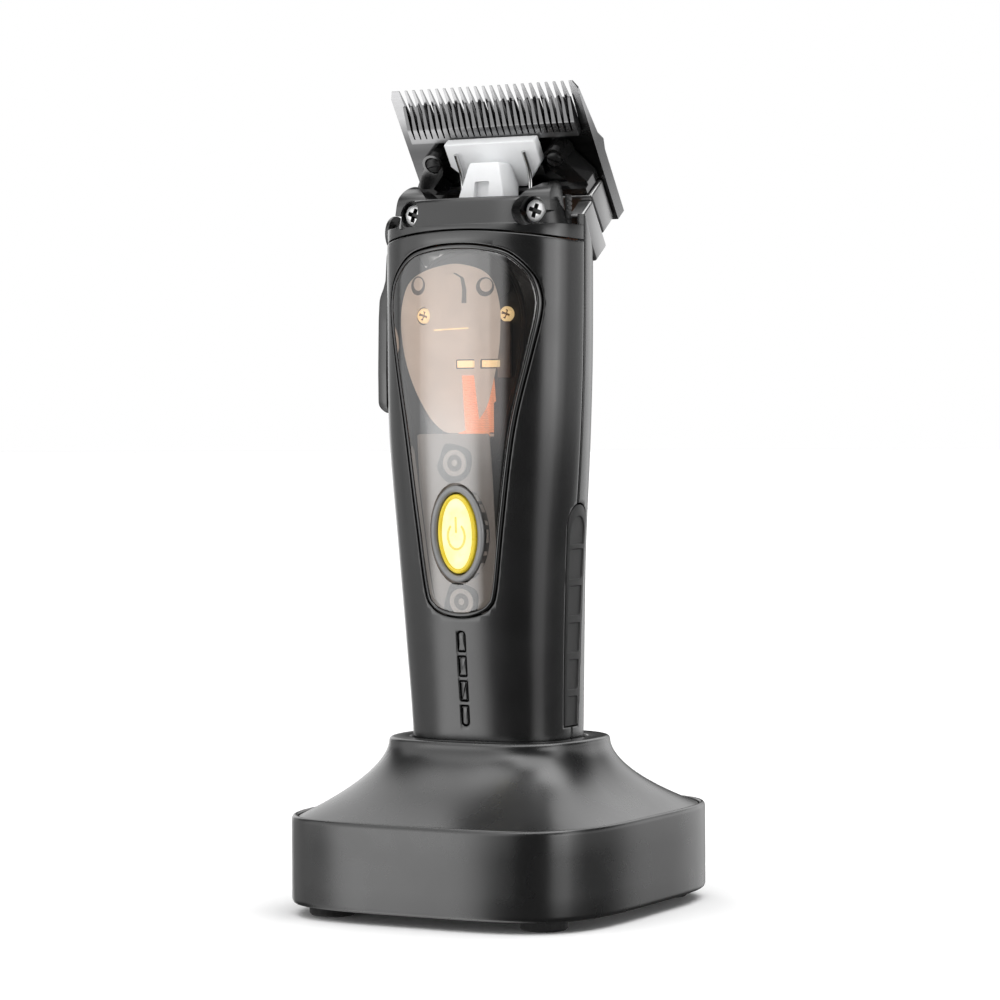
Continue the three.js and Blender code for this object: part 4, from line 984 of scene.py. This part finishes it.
def make_springs():
    x0, leg_y, coil_y, coil_z, radius = 8.6, -6.05, -11.0, -25.0, 2.0
    steps, turns = 20, 2.5
    for side, word in SIDES:
        control = [
            (x0, leg_y, -13.6), (x0, leg_y, -15.2), (x0, leg_y - 0.02, -17.0), (x0, leg_y - 0.15, -18.6),
            (x0, -6.9, -20.4), (x0, -7.9, -22.0), (x0, coil_y + radius, -23.6),
        ]
        coil = []
        for i in range(int(turns * steps) + 1):
            turn = -2 * math.pi * i / steps
            y, z = coil_y + radius * math.cos(turn), coil_z + radius * math.sin(turn)
            coil.append((x0 + 1.3 * i / steps, y, z))
        path = [(side * x, y, z) for x, y, z in control + coil]
        line = resample(path, 150)
        for _ in range(6):
            line = [line[0]] + [(a + b * 2 + c) / 4 for a, b, c in zip(line, line[1:], line[2:])] + [line[-1]]
        spring = raw(f"spring_{word}", *wire(line, 0.5), head_matrix)
        finish_piece(spring, "chrome", "blade_carriage", [f"tension_spring_{word}"], 50)


def rounded_frame(half, bottom, top, y):
    """An upright rectangle with rounded corners in the plane at y."""
    outline = rounded_box_outline(0, (bottom + top) / 2, 2 * half, top - bottom, 0.4)
    return [(x, y, z) for x, z in outline]


def make_follower():
    plate = [(-11.5, -11.5), (-11.5, -17.3), (-6.2, -23.2), (6.2, -23.2), (11.5, -17.3), (11.5, -11.5)]
    body = rounded(raw("follower_skin", *prism("y", plate, -5.2, -2.7), head_matrix), 0.35)
    tongue = raw("tongue", *loft([
        [(-half, y, z), (half, y, z), (half, back, z), (-half, back, z)] for y, z, half, back in (
            (-8.55, 155.8, 6.0, -1.5), (-8.6, 157.6, 6.0, -1.5), (-7.75, 162.0, 4.9, 0.8),
            (-6.95, 166.0, 3.85, -0.6), (-6.8, 166.6, 3.5, -0.9),
        )
    ]))
    rounded(tongue, 0.45)
    frames = ((1.8, 162.2, -6.6), (1.85, 162.3, -8), (2.2, 162.9, -12))
    carve(tongue, [
        raw("notch", *box(-1.8, 1.8, -6.2, -2.6, 150, 161)),
        raw("recess", *loft([rounded_frame(half, 150, top, y) for half, top, y in frames])),
    ])
    carve(body, [tongue], "UNION")
    finish_piece(body, "white", "cutter", ["cutter_follower"], 35)


def make_head_slabs():
    plate = raw("mount_slab", *box(-22.6, 22.6, -7.2, -0.35, MOUNT_FOOT, -25), head_matrix)
    rounded(plate, 0.6)
    lug = raw("lug", *box(-18.9, -16.1, -15.4, -6.9, -29.9, -25), head_matrix)
    carve(lug, [raw("slot", *box(-20, -15, -14.02, -10.97, -28.45, -25.75), head_matrix)])
    carve(plate, [lug], "UNION")
    rounded(plate, 0.12, 2)
    finish_piece(plate, "silver", "blade_carriage", ["blade_mount_plate"], 32)
    cover = raw("rear_cover_skin", *box(-22.8, 22.8, -14.1, -7.6, -38.1, -26), head_matrix)
    rounded(cover, 0.6)
    carve(cover, [
        raw("hollow", *box(-19.6, 19.6, -16.1, -9.6, -40.1, -24), head_matrix),
        raw("lowered", *box(-19.6, 19.6, -16.1, -5, -32.3, -24), head_matrix),
        lever_cutter("bore", LEVER_BORE, -30, -20),
        lever_cutter("disc", LEVER_DISC, -21.1, -19),
    ])
    finish_piece(cover, "silver", "clipper", ["rear_head_cover"], 32)


# ---------------------------------------------------------------- taper lever


def make_lever():
    stations = [  # centre y, height, half width
        (-4.3, 146.5, 2.6), (-5.2, 141, 2.3), (-6.0, 132, 2.45), (-6.2, 120, 2.6), (-6.2, 112.9, 2.5),
    ]

    def arc(y, z, half_y, half_z, angles):
        return [(y + half_y * math.cos(t), z + half_z * math.sin(t)) for t in map(math.radians, angles)]

    hub = arc(LEVER_Y, LEVER_Z, 4.1, 4.1, range(-50, 231, 10))
    tip = arc(-6.2, 112.9, 2.5, 2.0, range(190, 351, 20))
    front = [(y - half, z) for y, z, half in stations]
    rear = [(y + half, z) for y, z, half in reversed(stations)]
    loop = resampled(hub + front + tip + rear, 160)

    def outer_x(z):
        pad = min(max((141 - z) / 5, 0), 1) * min(max((z - 109.5) / 4, 0), 1)
        return -(25.4 + 1.3 * pad * pad * (3 - 2 * pad))

    rings = [[(-24.3, y, z) for y, z in loop]]
    for margin, drop in [(0.0, 0.5), (-0.15, 0.2), (-0.45, 0.05), (-0.9, 0.0)]:
        rings.append([(outer_x(z) + drop, y, z) for y, z in grown(loop, margin)])
    lever = raw("lever_skin", *loft(rings))
    finish_piece(lever, "body", "taper_lever", ["taper_lever"], 40)


# ---------------------------------------------------------------- what shows through the window


def make_chassis():
    control = [
        (0, 145.5), (8.5, 143), (13.2, 134.5), (13, 124), (9.5, 110), (6.5, 101), (0, 99.5),
        (-6.5, 101), (-9.5, 110), (-13, 124), (-13.2, 134.5), (-8.5, 143),
    ]
    loop = smooth_loop(control[::-1], 160)[::-1]
    rings = [[(x, y, z) for x, z in grown(loop, margin)] for margin, y in (
        (0, -13.8), (0, -14.9), (-0.25, -15.2), (-1.0, -15.2), (-1.3, -14.8),
    )]
    plate = raw("chassis_skin", *loft(rings))
    cutters = [raw("coil_window", *prism("y", rounded_box_outline(0, 112.7, 13.2, 16.4, 1), -30, 0))]
    for side in (-1, 1):
        cutters.append(raw("screw_hole", *prism("y", circle(side * 10.4, 132.3, 1.2), -30, 0)))
        cutters.append(raw("stud_hole", *prism("y", circle(side * 9, 138.7, 1.2), -30, 0)))
    carve(plate, cutters)
    finish_piece(plate, "dark", "clipper", ["inner_chassis"], 35)


def pane_sheet(name, outline, front, back, edge=0.15, layers=10):
    """A thin sheet that follows the inside of the window, with a softened front edge."""
    mid_x, mid_z = sum(x for x, _ in outline) / len(outline), sum(z for _, z in outline) / len(outline)

    def ring(scale, margin, inset):
        loop = [(mid_x + (x - mid_x) * scale, mid_z + (z - mid_z) * scale) for x, z in grown(outline, margin)]
        return behind_front(loop, inset)

    rings = [ring((k + 1) / layers, 0, back) for k in range(layers)]
    rings += [ring(1, 0, front + edge), ring(1, -edge * 0.3, front + edge * 0.3)]
    rings += [ring(k / layers, -edge, front) for k in range(layers, 0, -1)]
    return raw(name, *loft(rings))


def pane_cut(outline):
    return raw("cut", *prism("y", outline, -30, -13))


def pane_turned(name, x, z, profile, look):
    """A round piece square to the window, from (radius, inset) pairs from its back round to its front."""
    lean = math.atan2(front_y(x, z + 4, 0) - front_y(x, z - 4, 0), 8)
    turn = math.atan2(front_y(x + 2, z, 0) - front_y(x - 2, z, 0), 4)
    place = Matrix.Translation((x, front_y(x, z, 0), z)) @ Matrix.Rotation(turn, 4, "Z")
    place = place @ Matrix.Rotation(math.radians(-90) - lean, 4, "X")
    piece = raw(name, *turned(profile), place)
    return finish_piece(piece, look, "clipper", sharp=38)


def ribbon(name, left, right, look):
    """A flat strip on the liner's face between two lines."""
    rings = [behind_front(left + right[::-1], inset) for inset in (2.1, 1.85)]
    finish_piece(raw(name, *loft(rings)), look, "clipper", sharp=35)


def make_boss(number, x, z):
    lugs = []
    for k in range(9):
        t = 2 * math.pi * k / 9
        lugs.append((x + (4.1 + 0.7 * (k % 2)) * math.cos(t), z + (4.1 + 0.7 * (k % 3 == 0)) * math.sin(t)))
    gasket = pane_sheet(f"boss_gasket_{number}", resampled(smooth_loop(lugs, 90), 90), 2.1, 2.4, 0.1, 5)
    finish_piece(gasket, "dark", "clipper", sharp=35)
    pane_turned(f"boss_ring_{number}", x, z, [
        (0, 2.2), (2.9, 2.2), (2.9, 1.85), (2.75, 1.75), (2.1, 1.75), (1.9, 1.85), (1.9, 2.1), (0, 2.1),
    ], "liner_ring")
    pane_turned(f"boss_well_{number}", x, z, [
        (0, 2.09), (1.85, 2.09), (1.85, 2.0), (1.2, 1.95), (0, 1.95),
    ], "brown")
    pane_turned(f"boss_post_{number}", x, z, [
        (0, 2.0), (0.75, 2.0), (0.7, 1.85), (0.5, 1.75), (0, 1.72),
    ], "liner_ring")


def make_liner():
    """The pale dish right behind the window, the panel below it and the bosses on both."""
    liner = pane_sheet("liner_dish", smooth_loop(LINER, 150)[::-1], 2.0, 2.4)
    carve(liner, [
        pane_cut([(1.7, 105.0), (5.6, 105.0), (3.8, 119.0), (0.7, 119.0)]),
        pane_cut(rounded_box_outline(1.5, 121.4, 4.8, 2.1, 0.3)),
        pane_cut(rounded_box_outline(7.4, 121.4, 4.6, 2.1, 0.3)),
        pane_cut(circle(-9.6, 132.2, 2.0)),
    ])
    finish_piece(liner, "tan", "clipper", sharp=35)
    hook = [(p.x, p.y, 0.22 + 0.33 * i / 39) for i, p in enumerate(resample(resample(HOOK, 40), 40))]
    left, right = ([(x + side * half, z) for x, z, half in hook] for side, _ in SIDES)
    ribbon("liner_hook", left, right, "brown")
    line = resample([(-6.4, 129.0), (2.4, 129.3)], 40)
    ribbon("liner_wire", [(p.x, p.y - 0.12) for p in line], [(p.x, p.y + 0.12) for p in line], "gold")
    for x, z in ((-11.6, 139.0), (6.6, 138.3)):
        pane_turned("liner_ring", x, z, [(0, 2.3), (2.1, 2.3), (2.1, 1.95), (1.9, 1.85), (0, 1.85)], "brown")
        dome = [(0, 2.1), (1.5, 2.1), (1.45, 1.8), (1.05, 1.68), (0, 1.64)]
        pane_turned("liner_dome", x + 0.3, z + 0.35, dome, "tan")
    panel = pane_sheet("window_panel", resampled(PANEL, 120), 2.3, 2.6)
    carve(panel, [pane_cut(circle(0, BUTTON_Z, 6.75, 72, 10.8))])
    finish_piece(panel, "panel", "clipper", sharp=35)
    for number, (x, z) in enumerate(((-1.2, 99.6), (-0.6, 68.9))):
        make_boss(number, x, z)
    strip = rounded(raw("side_strip", *box(8.3, 11.5, -16.3, -15.5, 118.4, 130.7)), 0.15, 2)
    finish_piece(strip, "strip", "clipper", sharp=35)


def make_coil():
    """The winding with a ridge for each turn, and the part of it right behind the window."""
    bottom, top, turns = 106.4, 118.9, 26
    winding, front_turns = [], []
    for i in range(turns * 6 + 1):
        rise = i / (turns * 6)
        bulge = 0.14 * math.cos(2 * math.pi * (i % 6) / 6)
        outline = rounded_box_outline(0, -12, 2 * (5.45 + bulge), 2 * (3.25 + bulge), 1.6)
        winding.append([(x, y, bottom + (top - bottom) * rise) for x, y in outline])
        left, right, front = -1.0 - bulge, 6.0 - 1.4 * rise + bulge, -18.0 - bulge
        front_turns.append([(x, y, 105.3 + 13.5 * rise) for x, y in (
            (left, -15.5), (right, -15.5), (right, front + 0.8), (right - 0.8, front), (left + 0.8, front),
            (left, front + 0.8),
        )])
    winding += [[(x, y, z) for x, y in rounded_box_outline(0, -12, 4.4, 4.0, 0.4)] for z in (top, bottom)]
    coil = raw("coil_skin", *loft(winding, wrap=True))
    finish_piece(coil, "copper", "clipper", ["copper_coil"], 60)
    finish_piece(raw("coil_front_turns", *loft(front_turns)), "copper", "clipper", sharp=60)


# ---------------------------------------------------------------- CAD pieces that stay as they are

KEPT = {  # look and edge radius: the nodes that have them
    ("dark", 0.3): "socket_cup contact_block motor_frame",
    ("dark", 0.15): "chassis_stud_left chassis_stud_right",
    ("dark", 0.1): "main_circuit_board",
    ("stand", 0.3): "base_plate",
    ("foot", 0.3): "rubber_foot_1 rubber_foot_2 rubber_foot_3 rubber_foot_4",
    ("board", 0.1): "stand_circuit_board",
    ("cell", 0.5): "lithium_cell",
    ("tan", 0.1): "coil_bobbin",
    ("gloss", 0.25): "blade_bracket",
    ("chrome", 0.1): "usb_inlet_shell arm_pivot_pin",
    ("chrome", 0.15): "base_screw_1 base_screw_2 base_screw_3 base_screw_4",
    ("brass", 0.05): "contact_pin_left contact_pin_right",
    ("brass", 0.1): "charge_pad_left charge_pad_right",
    ("gold", 0.12): "coil_terminal_left coil_terminal_right",
    ("dark_steel", 0.1): "coil_core lever_cam_shaft",
    ("dark_steel", 0.15): "drive_arm",
    ("dark_steel", 0.2): "arm_magnet",
    ("blade", 0.1): "fixed_blade",
    ("cutter", 0.08): "moving_cutter",
    ("black_steel", 0.15): "lever_screw",
}


def dress_kept():
    for (look, width), nodes in KEPT.items():
        for node in nodes.split():
            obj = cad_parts[node]
            obj.data.materials.clear()
            obj.data.materials.append(LOOK[look])
            soften(obj, width, 2)


# ---------------------------------------------------------------- camera, light and floor


CAMERA_TURN = (28.4, 1.0, 0.3)  # azimuth, elevation and roll, in degrees
CAMERA_TARGET, CAMERA_DISTANCE = (0, 0, 0.0912), 0.75  # in metres
CAMERA_LENS = 36 * 3.33375


def make_camera():
    azimuth, elevation, roll = (math.radians(angle) for angle in CAMERA_TURN)
    back = Vector((
        math.sin(azimuth) * math.cos(elevation), -math.cos(azimuth) * math.cos(elevation), math.sin(elevation),
    ))
    data = bpy.data.cameras.new("camera")
    data.sensor_width = 36
    data.lens = CAMERA_LENS
    data.clip_start, data.clip_end = 0.01, 50
    camera = link("camera", data)
    camera.location = Vector(CAMERA_TARGET) + back * CAMERA_DISTANCE
    camera.rotation_mode = "QUATERNION"
    rolled = Matrix.Rotation(-roll, 3, "Z").to_quaternion()
    camera.rotation_quaternion = (-back).to_track_quat("-Z", "Y") @ rolled
    scene.camera = camera


STUDIO_BASE = 0.07
STUDIO_LIGHTS = [  # azimuth, half width, softness, lowest, highest, softness up and down, radiance
    (-47, 10, 10, -84, -42, 6, 2.4),
    (-95, 45, 12, -84, -42, 6, 1.0),
    (-32, 9, 8, -42, 2, 6, 2.1),
    (-58, 14, 10, -42, -16, 6, 0.9),
    (-75, 40, 10, -16, -4, 5, 0.45),
    (-136, 9, 8, -16, 14, 5, 1.2),
    (72, 12, 8, -18, -4, 5, 0.6),
    (172, 18, 8, -16, 14, 5, 1.0),
    (-38, 42, 5, -4, 36, 5, 1.0),
    (-30, 21, 1.5, -3, 16, 5, 0.6),
    (-110, 26, 10, -4, 14, 5, 0.5),
    (0, 9, 4, 14, 50, 5, 0.7),
    (71, 13, 8, -4, 16, 5, 2.3),
    (92, 10, 8, -4, 36, 5, 1.6),
    (142, 34, 8, -4, 14, 5, 0.7),
    (-126, 14, 8, 14, 52, 5, 1.5),
    (180, 15, 8, 14, 58, 5, 1.6),
    (-15, 38, 8, 36, 56, 6, 1.5),
    (98, 14, 8, 36, 56, 6, 0.6),
    (-78, 42, 12, 60, 86, 8, 2.0),
    (130, 32, 12, 54, 84, 8, 3.0),
    (50, 46, 10, 44, 80, 8, 2.4),
    (180, 180, 1, 50, 91, 10, 0.5),
]


def studio_light(tree, heading, height, light):
    """The radiance of one soft light as seen along a direction."""
    azimuth, half, soft, lowest, highest, soft_up, radiance = light

    def ramp(source, low, high, to=1.0):
        ends = {"Value": source, "From Min": low, "From Max": high, "To Max": to}
        return add_node(tree, "MapRange", ends, interpolation_type="SMOOTHSTEP").outputs["Result"]

    def times(first, second):
        return add_node(tree, "Math", {0: first, 1: second}, operation="MULTIPLY").outputs["Value"]

    def sine(degrees):
        return math.sin(math.radians(degrees))

    a = math.radians(azimuth)
    facing = (math.sin(a), -math.cos(a), 0)
    turn = add_node(tree, "VectorMath", {0: heading, 1: facing}, operation="DOT_PRODUCT")
    far, near = math.radians(min(half + soft, 180)), math.radians(max(half - soft, 0))
    sideways = ramp(turn.outputs["Value"], math.cos(far) - 1e-4, math.cos(near))
    above = ramp(height, sine(lowest - soft_up), sine(lowest + soft_up))
    below = ramp(height, sine(min(highest + soft_up, 90)) + 1e-4, sine(highest - soft_up), radiance)
    return times(times(sideways, above), below)


def make_world():
    """A white surround for the camera, and a studio of soft lights for everything else."""
    world = bpy.data.worlds.new("studio")
    scene.world = world
    world.use_nodes = True
    tree = world.node_tree
    direction = add_node(tree, "TexCoord", {}).outputs["Generated"]
    flat = add_node(tree, "VectorMath", {0: direction, 1: (1, 1, 0)}, operation="MULTIPLY")
    heading = add_node(tree, "VectorMath", {0: flat.outputs["Vector"]}, operation="NORMALIZE")
    parts = add_node(tree, "SeparateXYZ", {"Vector": direction})
    total = STUDIO_BASE
    for light in STUDIO_LIGHTS:
        one = studio_light(tree, heading.outputs["Vector"], parts.outputs["Z"], light)
        total = add_node(tree, "Math", {0: one, 1: total}).outputs["Value"]
    path = add_node(tree, "LightPath", {})
    seen = add_node(tree, "Mix", {"Factor": path.outputs["Is Camera Ray"], "A": total, "B": 1.0})
    feed(tree, tree.nodes["Background"], {"Color": (1, 1, 1, 1), "Strength": seen.outputs["Result"]})
    scene.view_settings.view_transform = "Standard"


def make_floor():
    mesh = bpy.data.meshes.new("floor")
    mesh.from_pydata([(-30, -30, 0), (30, -30, 0), (30, 30, 0), (-30, 30, 0)], [], [(0, 1, 2, 3)])
    floor = link("floor", mesh)
    floor.visible_glossy = False
    mat, tree, shader = node_tree("pale_floor")
    feed(tree, shader, {
        "Base Color": blend_colours(tree, spread(tree, noise(tree, 3, 3), 0, 1), grey(0.93), grey(0.95)),
        "Roughness": spread(tree, noise(tree, 8, 3), 0.75, 0.85), "Specular IOR Level": 0.1,
    })
    mesh.materials.append(mat)


make_camera()
make_world()
make_floor()
dress_kept()
make_stand()
make_shells()
make_window()
make_button()
make_indicators()
make_grips()
make_collar()
make_screws()
make_head_slabs()
make_follower()
make_springs()
make_lever()
make_chassis()
make_liner()
make_coil()
